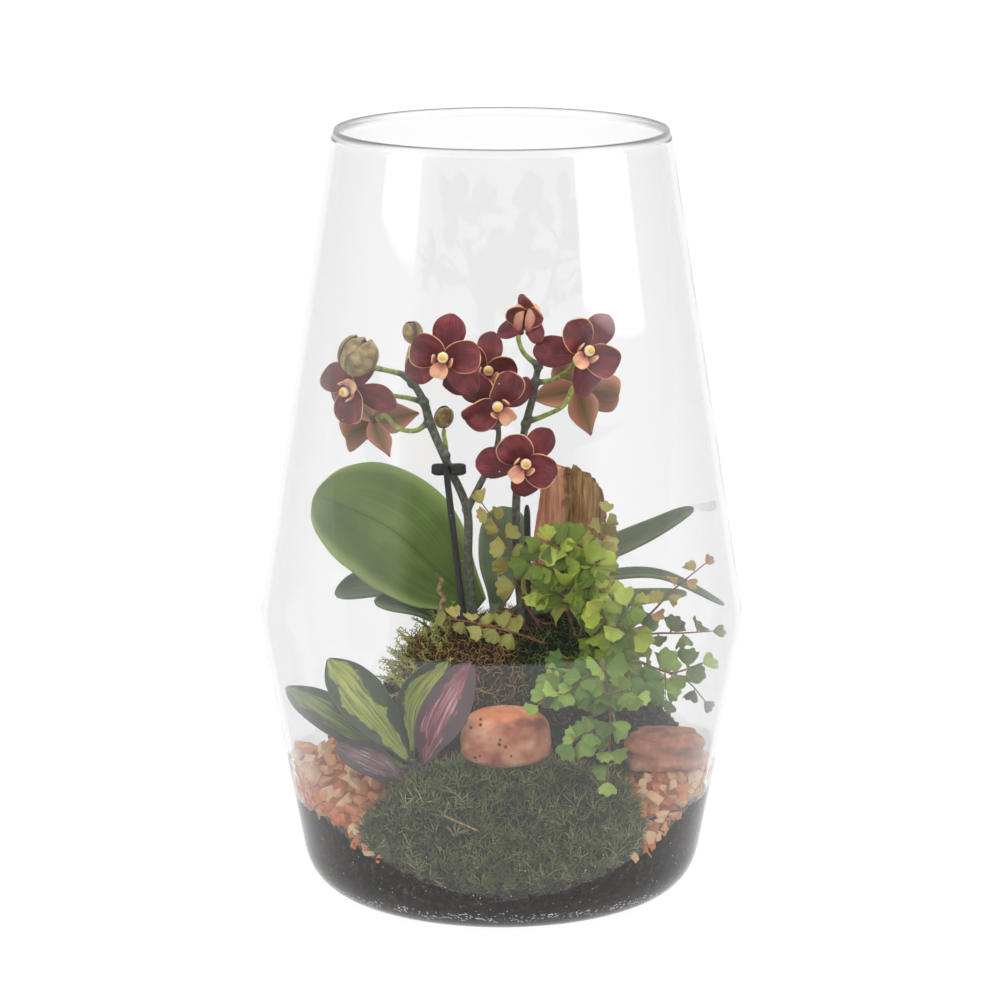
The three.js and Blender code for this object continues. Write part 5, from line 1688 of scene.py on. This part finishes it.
# %% Modelling the buds
# Each line gives a bud's middle, its half sizes and its tilt, then how many sheets fold round it, how many
# degrees each one wraps to either side, and how far its edge lifts.
buds = {
    "large": ((-73, -25, 285.5), (9.8, 8.4, 9.8), 25, 6, 50, 0.34),
    "small": ((-45.7, 7, 292.5), (5.3, 5, 6.2), -12, 3, 75, 0.06),
    "behind": ((-30, 14, 246.5), (5, 4.8, 6), 20, 3, 75, 0.06),
}
for bud, (at, half, tilt, folds, wrap, lift) in buds.items():
    c, s = math.cos(math.radians(tilt)), math.sin(math.radians(tilt))
    draw = np.random.default_rng(len(bud))

    def egg(angle, polar, swell):
        """A place on the bud: round its axis, from the foot (0) to the tip (180), and how far out."""
        out = np.sin(np.radians(polar)) ** 0.85 * swell
        x, y = half[0] * out * np.cos(angle), half[1] * out * np.sin(angle)
        z = -half[2] * np.cos(np.radians(polar)) * swell
        return np.stack([x * c + z * s, y, -x * s + z * c], axis=1) + at

    core = ball(4, lambda p: egg(np.arctan2(p[:, 1], p[:, 0]), np.degrees(np.arccos(-p[:, 2])), 0.88))
    set_tone(core, np.full(len(core.data.vertices), 0.8))
    core.data.materials.append(bud_skin)
    parts = [core]
    for fold in range(folds):
        around_axis = 2 * math.pi * (fold + 0.3 * draw.random()) / folds - 0.6
        tip = draw.uniform(150, 172)

        def fold_form(a, t):
            width = math.radians(wrap) * np.sin(np.clip(t, 0.02, 0.985) * math.pi) ** 0.45
            lifted = lift * (0.25 + 0.5 * (a + 1) / 2) * smoothstep(t, 0.25, 0.9) * (1 - 0.6 * a * a)
            swell = 0.93 + 0.05 * (fold % 2) + lifted
            return egg(around_axis + a * width + 0.25 * t, 6 + t * tip, swell)

        petal = sheet(14, 16, fold_form)
        across = np.abs(np.linspace(-1, 1, 15)[np.arange(len(petal.data.vertices)) % 15])
        set_tone(petal, smoothstep(across, 0.62, 1.0))
        parts.append(thicken(petal, 0.6, [bud_skin]))
    piece = join(parts)
    hand_over(piece, "olive_bud_" + bud, "bud", "bud_" + bud)

# %% [markdown]
# ## The waxy plant
# Broad pointed leaves stand up from one short stem. Three have a dark green margin round a yellow-green
# middle, and two show a purple-pink underside. All are thin, folded along the midrib and glossy as if
# oiled.

# %% Waxy variegated finishes
# Thick wax: glossy. The colour fields have torn edges, so a noise of 6 mm patches shifts the border between
# the dark margin and the pale middle, and a second one lays dark or pale flecks over it.
variegated = {}
for name, middle_stops, edge_code, fleck_code, rib_code in (
    ("green", ((0.3, "5f6c28"), (0.5, "7f8a3a"), (0.7, "a9a85a")), "2c3827", "3b4a30", "767a48"),
    ("dark", ((0.3, "39472a"), (0.5, "5c6b35"), (0.7, "8d9148")), "263126", "2d3a2b", "5f6a44"),
    ("purple", ((0.3, "56262f"), (0.5, "83434e"), (0.7, "a9747b")), "4c383d", "c09a9b", "351b21"),
    ("plum", ((0.3, "3a2730"), (0.5, "55363f"), (0.7, "7d5a60")), "2f2a2c", "8b8a72", "7a5f62"),
):
    material, tree, shader = new_finish(
        "waxy_" + name + "_leaf", Roughness=0.3, Coat_Weight=0.2, Coat_Roughness=0.25
    )
    chart = add(tree, "UVMap")
    chart_axes = add(tree, "SeparateXYZ", out=None, Vector=chart)
    off_middle = add(
        tree, "Math", ABSOLUTE, _0=add(tree, "Math", SUBTRACT, _0=chart_axes.outputs["X"], _1=0.5)
    )
    place = add(tree, "TexCoord", out=OWN_PLACE)
    torn = add(tree, "TexNoise", Vector=place, Scale=75, Detail=5, Roughness=0.6)
    veins = add(
        tree, "TexNoise", Vector=add(tree, "Mapping", Vector=chart, Scale=(10, 1.2, 1)), Scale=2.2, Detail=3
    )
    border = add(tree, "Math", MULTIPLY_ADD, _0=torn, _1=0.85, _2=off_middle)
    outer = add(tree, "MapRange", SMOOTH, Value=border, _1=0.66, _2=0.72, _3=0.0, _4=1.0)
    flecks = add(
        tree, "TexNoise",
        Vector=add(tree, "Mapping", Vector=chart, Scale=(6, 1.6, 1), Location=(3, 1, 0)),
        Scale=2.4, Detail=4,
    )
    fleck_share = add(tree, "MapRange", SMOOTH, Value=flecks, _1=0.56, _2=0.64, _3=0.0, _4=0.75)
    inner_colour = add(tree, "ValToRGB", {"stops": middle_stops}, Fac=veins)
    both = add(tree, "Mix", MIX_COLOURS, out=MIXED, _0=fleck_share, _6=inner_colour, _7=colour(fleck_code))
    both = add(tree, "Mix", MIX_COLOURS, out=MIXED, _0=outer, _6=both, _7=colour(edge_code))
    rib = add(tree, "MapRange", SMOOTH, Value=off_middle, _1=0.0, _2=0.02, _3=0.6, _4=0.0)
    ribbed = add(tree, "Mix", MIX_COLOURS, out=MIXED, _0=rib, _6=both, _7=colour(rib_code))
    wire(shader, Base_Color=ribbed)
    wire(shader, Normal=add(tree, "Bump", Height=veins, Strength=0.15, Distance=0.0005))
    variegated[name] = material

# %% Laying out the waxy leaves
pointed = [(0, 0.14), (0.15, 0.4), (0.35, 0.86), (0.56, 1), (0.78, 0.8), (0.93, 0.4), (1, 0.05)]
waxy_lines = {
    "far_left": ([(-50, -54.5, 77), (-80, -46, 97), (-111, -28, 113)], 11.5, (0.25, -0.7, 0.66), "dark"),
    "left": ([(-48, -58.5, 83), (-68, -56, 109), (-89, -38, 130)], 13.5, (0.25, -0.85, 0.45), "green"),
    "middle": ([(-46, -51, 85), (-45, -48, 108), (-27, -44, 131)], 10.5, (0.1, -0.97, 0.2), "green"),
    "right": ([(-39.5, -61, 81), (-31, -74, 110), (-16, -72, 138)], 13, (0.2, -0.95, -0.15), "purple"),
    "front": ([(-50, -62.5, 73), (-66, -69, 85), (-84, -66, 92)], 9, (0.1, -0.8, 0.6), "plum"),
}
for leaf, (line, half, faces, finish) in waxy_lines.items():
    piece = sheet(
        20, 28,
        leaf_form(
            line, pointed, half, faces, None, 0.24, lambda a, u,
            r: -0.6 * np.exp(-((a / 0.09) ** 2)) + 0.5 * np.sin(8 * u + 2 * a) * a * a,
        ),
    )
    thicken(piece, 0.9, [variegated[finish]])
    fit_in_glass(piece)
    hand_over(piece, "waxy_blade_" + leaf, "variegated", "waxy_leaf_" + leaf)

waxy_base = tube([(-44, -56, 60), (-44.5, -56, 72), (-45, -56, 82)], [3, 3.4, 2], sides=14, cuts=10)
for foot in ((-50, -54.5, 77), (-48, -58.5, 83), (-46, -51, 85), (-39.5, -61, 81), (-50, -62.5, 73)):
    waxy_base = join(
        [
            waxy_base,
            tube(
                [(-44.6, -56, 74), tuple(lerp(np.array((-44.6, -56, 78.0)), np.array(foot), 0.6)), foot],
                [1.6, 1.3, 1.5], sides=10, cuts=8,
            ),
        ]
    )
waxy_base.data.materials.append(variegated["dark"])
hand_over(waxy_base, "waxy_plant_stem", "variegated", "waxy_stem")

# %% [markdown]
# ## The fern
# A fern with thin wiry stalks and fan-shaped leaflets, set by turns on either side. One leaflet is modelled
# in six variants, flat or curled, and copied along each stalk, facing the way its solid's leaflets do.
# Thick fronds carry short side shoots with smaller leaflets of their own.

# %% Fern finishes
# Thin soft leaf: matt, and it lets some light through. The tone picks a hue, and each frond has its own
# range. The deep range is painted shade: its darker greens are for the fronds low on the right.
fern_finishes = {}
for name, stops in {
    "fresh": ((0.0, "2c4417"), (0.35, "507024"), (0.7, "789438"), (1.0, "a0b45c")),
    "bright": ((0.0, "33461a"), (0.35, "5f7824"), (0.7, "8fa03a"), (1.0, "b8bd5e")),
    "olive": ((0.0, "666a30"), (0.4, "82843f"), (0.75, "9a9650"), (1.0, "a68c58")),
    "reddish": ((0.0, "7c5a3c"), (0.4, "98704e"), (0.75, "8d8a4a"), (1.0, "a5814f")),
    "deep_painted_shade": ((0.0, "2f4424"), (0.4, "425a30"), (0.75, "58703c"), (1.0, "71854e")),
}.items():
    material, tree, shader = new_finish(
        name + "_fern_leaflet", Roughness=0.55, Subsurface_Weight=0.25, Subsurface_Scale=0.002
    )
    tone = add(tree, "Attribute", TONE, out=FACTOR)
    rise = add(tree, "Attribute", RISE, out=FACTOR)
    place = add(tree, "TexCoord", out=OWN_PLACE)
    mottle = add(tree, "TexNoise", Vector=place, Scale=330, Detail=3)
    mixed = add(
        tree, "Math", MULTIPLY_ADD, _0=mottle, _1=0.3, _2=add(tree, "Math", MULTIPLY, _0=tone, _1=0.7)
    )
    blade_colour = add(tree, "ValToRGB", {"stops": stops}, Fac=mixed)
    foot = add(tree, "MapRange", SMOOTH, Value=rise, _1=0.05, _2=0.3, _3=0.5, _4=0.0)
    wire(
        shader,
        Base_Color=add(tree, "Mix", MIX_COLOURS, out=MIXED, _0=foot, _6=blade_colour, _7=colour("5a4a28")),
    )
    wire(shader, Normal=add(tree, "Bump", Height=mottle, Strength=0.2, Distance=0.0004))
    fern_finishes[name] = material

wiry_stalk, tree, shader = new_finish("wiry_fern_stalk", Roughness=0.5)
place = add(tree, "TexCoord", out=OWN_PLACE)
wire(
    shader,
    Base_Color=add(
        tree, "ValToRGB", {"stops": ((0.35, "4f3222"), (0.65, "7d5436"))},
        Fac=add(tree, "TexNoise", Vector=place, Scale=200, Detail=2),
    ),
)


# %% Leaflets
def leaflet(curl, cup, wave, lobes, spread=56, skew=0.0):
    """A fan on a short stalk, with a scalloped edge. It is 1000 mm long, to be scaled down."""
    def place(a, t):
        opened = smoothstep(t, 0.08, 0.36)
        angle = np.radians(spread) * (a + skew * (1 - a * a)) * lerp(0.12, 1.0, opened)
        rim = 1 + (0.07 * np.cos(math.pi * lobes * a) - 0.13 * a * a) * smoothstep(t, 0.45, 1)
        x, y = np.sin(angle) * t * rim * 0.84, (0.30 + 0.70 * np.cos(angle)) * t * rim
        bend = -curl * t * t + cup * x * x * 1.6 + wave * np.sin(math.pi * lobes * a + 3 * t) * t * t
        return np.stack([x, y, bend], axis=1) * 1000

    return pattern_of(thicken(sheet(13, 5, place), 30, levels=0), tall=False)


leaflet_patterns = [
    leaflet(0.12, 0.4, 0.04, 3),
    leaflet(0.34, -0.6, 0.06, 4, 60, 0.2),
    leaflet(-0.10, 0.9, 0.06, 3, 50, -0.2),
    leaflet(0.22, 0.2, 0.08, 4, 64),
    leaflet(0.05, -0.9, 0.07, 3, 52, 0.3),
    leaflet(0.45, 0.8, 0.05, 4, 60, -0.3),
]


def draws(seed):
    """The same numbers from 0 to 1 that the solids' leaflets were drawn with."""
    state, whole = seed, 0xFFFFFFFF
    while True:
        state = (state + 0x6D2B79F5) & whole
        t = ((state ^ (state >> 15)) * (1 | state)) & whole
        t = ((t + (((t ^ (t >> 7)) * (61 | t)) & whole)) & whole) ^ t
        yield ((t ^ (t >> 14)) & whole) / 4294967296


def around(v, axis, angle):
    """A vector turned round an axis."""
    c, s = math.cos(angle), math.sin(angle)
    return v * c + np.cross(axis, v) * s + axis * axis.dot(v) * (1 - c)


# %% Fronds
# Each line gives a frond's course, its pairs of leaflets, their size, the way they face, a finish, and how
# many side shoots it carries. The fresh fronds in the middle are a thicket; the olive ones above it are
# airy.
fronds = {
    "young": (
        [(22, -14, 138), (9, -13, 160), (1, -13, 190), (-10, -14, 207)], 11, 11.5, (0, -1, 0.1), "olive", 0
    ),
    "tall": (
        [(40, -20, 138), (46, -19, 156), (51, -9, 178), (54, 0, 199)], 10, 12, (0.1, -0.9, 0.3), "olive", 2
    ),
    "middle": (
        [(38, -24, 139), (34, -28, 155), (33, -28, 172), (36, -26, 188)], 9, 15, (0, -0.95, 0.3),
        "bright", 6,
    ),
    "red_right": (
        [(50, -22, 136), (72, -32, 149), (88, -34, 166), (104, -34, 180)], 9, 8.5, (0.2, -0.8, 0.5),
        "reddish", 0,
    ),
    # The two fronds low on the right take the deep finish, whose darker greens are painted shade.
    "right": (
        [(60, -4, 128), (78, -24, 140), (92, -34, 143), (108, -34, 144)], 7, 11, (0.1, -0.8, 0.6), "deep_painted_shade", 0
    ),
    "right_front": (
        [(50, -25, 126), (66, -45, 132), (86, -52, 127), (102, -48, 131)], 7, 14, (0.1, -0.9, 0.4),
        "fresh", 1,
    ),
    "right_low": (
        [(60, 2, 122), (80, -4, 116), (96, -10, 112), (106, -16, 102)], 6, 11, (0.2, -0.8, 0.5), "deep_painted_shade", 0
    ),
    "hanging": (
        [(38, -35, 132), (50, -66, 134), (54, -84, 118), (53, -90, 80)], 10, 13.5, (0.1, -0.75, 0.65),
        "fresh", 3,
    ),
    "front": (
        [(30, -36, 130), (38, -56, 133), (32, -72, 127), (18, -82, 118)], 8, 13, (0, -0.85, 0.5), "fresh", 2
    ),
    "middle_low": (
        [(42, -30, 136), (52, -48, 146), (58, -56, 152), (66, -60, 150)], 8, 14, (0, -0.9, 0.4), "bright", 6
    ),
    "creeping": (
        [(22, -32, 137), (4, -42, 146), (-12, -42, 150), (-28, -38, 152)], 10, 10, (0, -0.75, 0.65),
        "olive", 0,
    ),
}
droop = np.array([0, 0, -0.12])
for k, (name, (line, count, size, faces, finish, side_shoots)) in enumerate(fronds.items()):
    draw, own = draws(101 + k), np.random.default_rng(200 + k)
    face = unit(faces)
    places, turns, parts = [], [], []

    def set_leaflet(at, away, looks, length):
        """Places one leaflet, with a little chance in the way it faces."""
        looks = unit(looks + own.normal(size=3) * 0.28)
        looks = unit(looks - away * looks.dot(away))
        places.append(at)
        turns.append(np.stack([np.cross(away, looks), away, looks], axis=1) * length * mm)

    for i in range(count):
        u = lerp(0.3, 0.985, i / (count - 1))
        (at,), (along,) = smooth_line(line, np.array([u]))
        side = unit(np.cross(face, along))
        last = i == count - 1
        sign = 0 if last else (1 if i % 2 else -1)
        away = unit(side * sign + along * (1 if last else 0.45))
        length = size * lerp(1, 0.66, i / count) * (0.88 + 0.24 * next(draw))
        twist = (next(draw) - 0.5) * math.radians(40)
        set_leaflet(
            at, unit(around(away, along, twist) + droop), around(face, along, twist),
            length * (1.2 if side_shoots > 3 else 0.95),
        )
        if side_shoots and not last:
            set_leaflet(
                at, unit(around(away, along, twist + 1.2) - 0.8 * side * sign + droop), face, length * 0.85
            )
    for j in range(side_shoots):
        u = lerp(0.25, 0.9, (j + own.random() * 0.7) / side_shoots)
        (at,), (along,) = smooth_line(line, np.array([u]))
        side = unit(np.cross(face, along)) * (1 if j % 2 else -1)
        way = unit(
            side * own.uniform(0.5, 1.0) + along * own.uniform(0.0, 0.6) + face * own.uniform(0.0, 0.6)
        )
        reach = size * own.uniform(1.0, 1.7)
        shoot = [at, at + way * reach * 0.55 + face * 1.0, at + way * reach + droop * reach * 1.5]
        parts.append(tube(shoot, [0.4, 0.32, 0.2], sides=6, cuts=8))
        for i in range(6):
            (spot,), (ahead,) = smooth_line(shoot, np.array([0.3 + 0.138 * i]))
            level = unit(np.cross(face, ahead)) * (1 if i % 2 else -1)
            away = unit(level * (0.2 if i == 5 else 1) + ahead * 0.6 + droop)
            set_leaflet(
                spot, away, around(face, ahead, own.uniform(-0.7, 0.7)), size * own.uniform(0.5, 0.85)
            )
    blades = strew(
        leaflet_patterns, np.array(places), np.array(turns), own.random(len(places)), fern_finishes[finish]
    )
    parts.append(tube(line, [0.65, 0.6, 0.5, 0.3], sides=8, cuts=22))
    for stalk_piece in parts:
        stalk_piece.data.materials.append(wiry_stalk)
    piece = join([blades, *parts])
    fit_in_glass(piece)
    hand_over(piece, "fern_" + name, "fern", "frond_" + name, angle=60)

# %% [markdown]
# ## Small things on the glass
# Watering leaves a white line of lime and droplets low inside the glass, where the soil touches it. Flat
# little flakes of a few shapes are strewn along that line, thick at the foot and thin higher up. Along the
# foot they are also painted reflection: their white stands for the table's bright glints in a thin gap
# between soil and glass.

# %% Lime flakes
lime_finish_with_painted_glints, tree, shader = new_finish("dried_lime_droplets_and_painted_glints", Roughness=0.5)
place = add(tree, "TexCoord", out=OWN_PLACE)
wire(
    shader,
    Base_Color=add(
        tree, "ValToRGB", {"stops": ((0.3, "d2cdc8"), (0.7, "ffffff"))},
        Fac=add(tree, "TexNoise", Vector=place, Scale=700, Detail=2),
    ),
)
draw = np.random.default_rng(70)
count = 1500
angle = draw.uniform(0, 2 * math.pi, count)
# The low band along the foot is partly painted reflection: white flakes where the table's glints would show.
low_band = draw.random(count) < 0.72
clumps = 0.5 + 0.5 * np.sin(angle * 23) * np.sin(angle * 9 + 1)
z = np.where(
    low_band, 8.0 + 3.5 * draw.random(count) ** 1.5 + 2.0 * clumps, 12 + 44 * draw.random(count) ** 2.4
)
radius = np.interp(z, inner_height, inner_radius) + 0.2
# A few specks cling to the dry wall higher up.
dry = np.arange(count) >= count - 60
z[dry] = draw.uniform(110, 385, dry.sum())
radius[dry] = np.interp(z[dry], inner_height, inner_radius) - 0.1
spots = np.stack([radius * np.cos(angle), radius * np.sin(angle), z], axis=1)
tilt = np.gradient(inner_radius, inner_height)
slope = np.interp(z, inner_height, tilt)
ways = unit(np.stack([-np.cos(angle), -np.sin(angle), slope], axis=1))
flakes = [
    pattern_of(
        ball(1, lambda p, s=s: p * (1 + 0.4 * roughness_at(p * 10, 8, s, 1))[:, None] * [1, 0.7, 0.12])
    )
    for s in (7, 8, 9)
]
sizes = draw.uniform(0.25, 0.8, count) * np.where(dry, 0.55, np.where(low_band, 1.0, 0.6))
lime = strew(flakes, spots, turned_to(ways, draw, sizes), draw.random(count), lime_finish_with_painted_glints)
hand_over(lime, "lime_line_and_painted_glints_on_glass", "clear_glass")

# %% Measuring and finishing
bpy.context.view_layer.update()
total = sum(len(o.data.loops) - 2 * len(o.data.polygons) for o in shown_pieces() if o.type == "MESH")
print("triangles in all:", total)
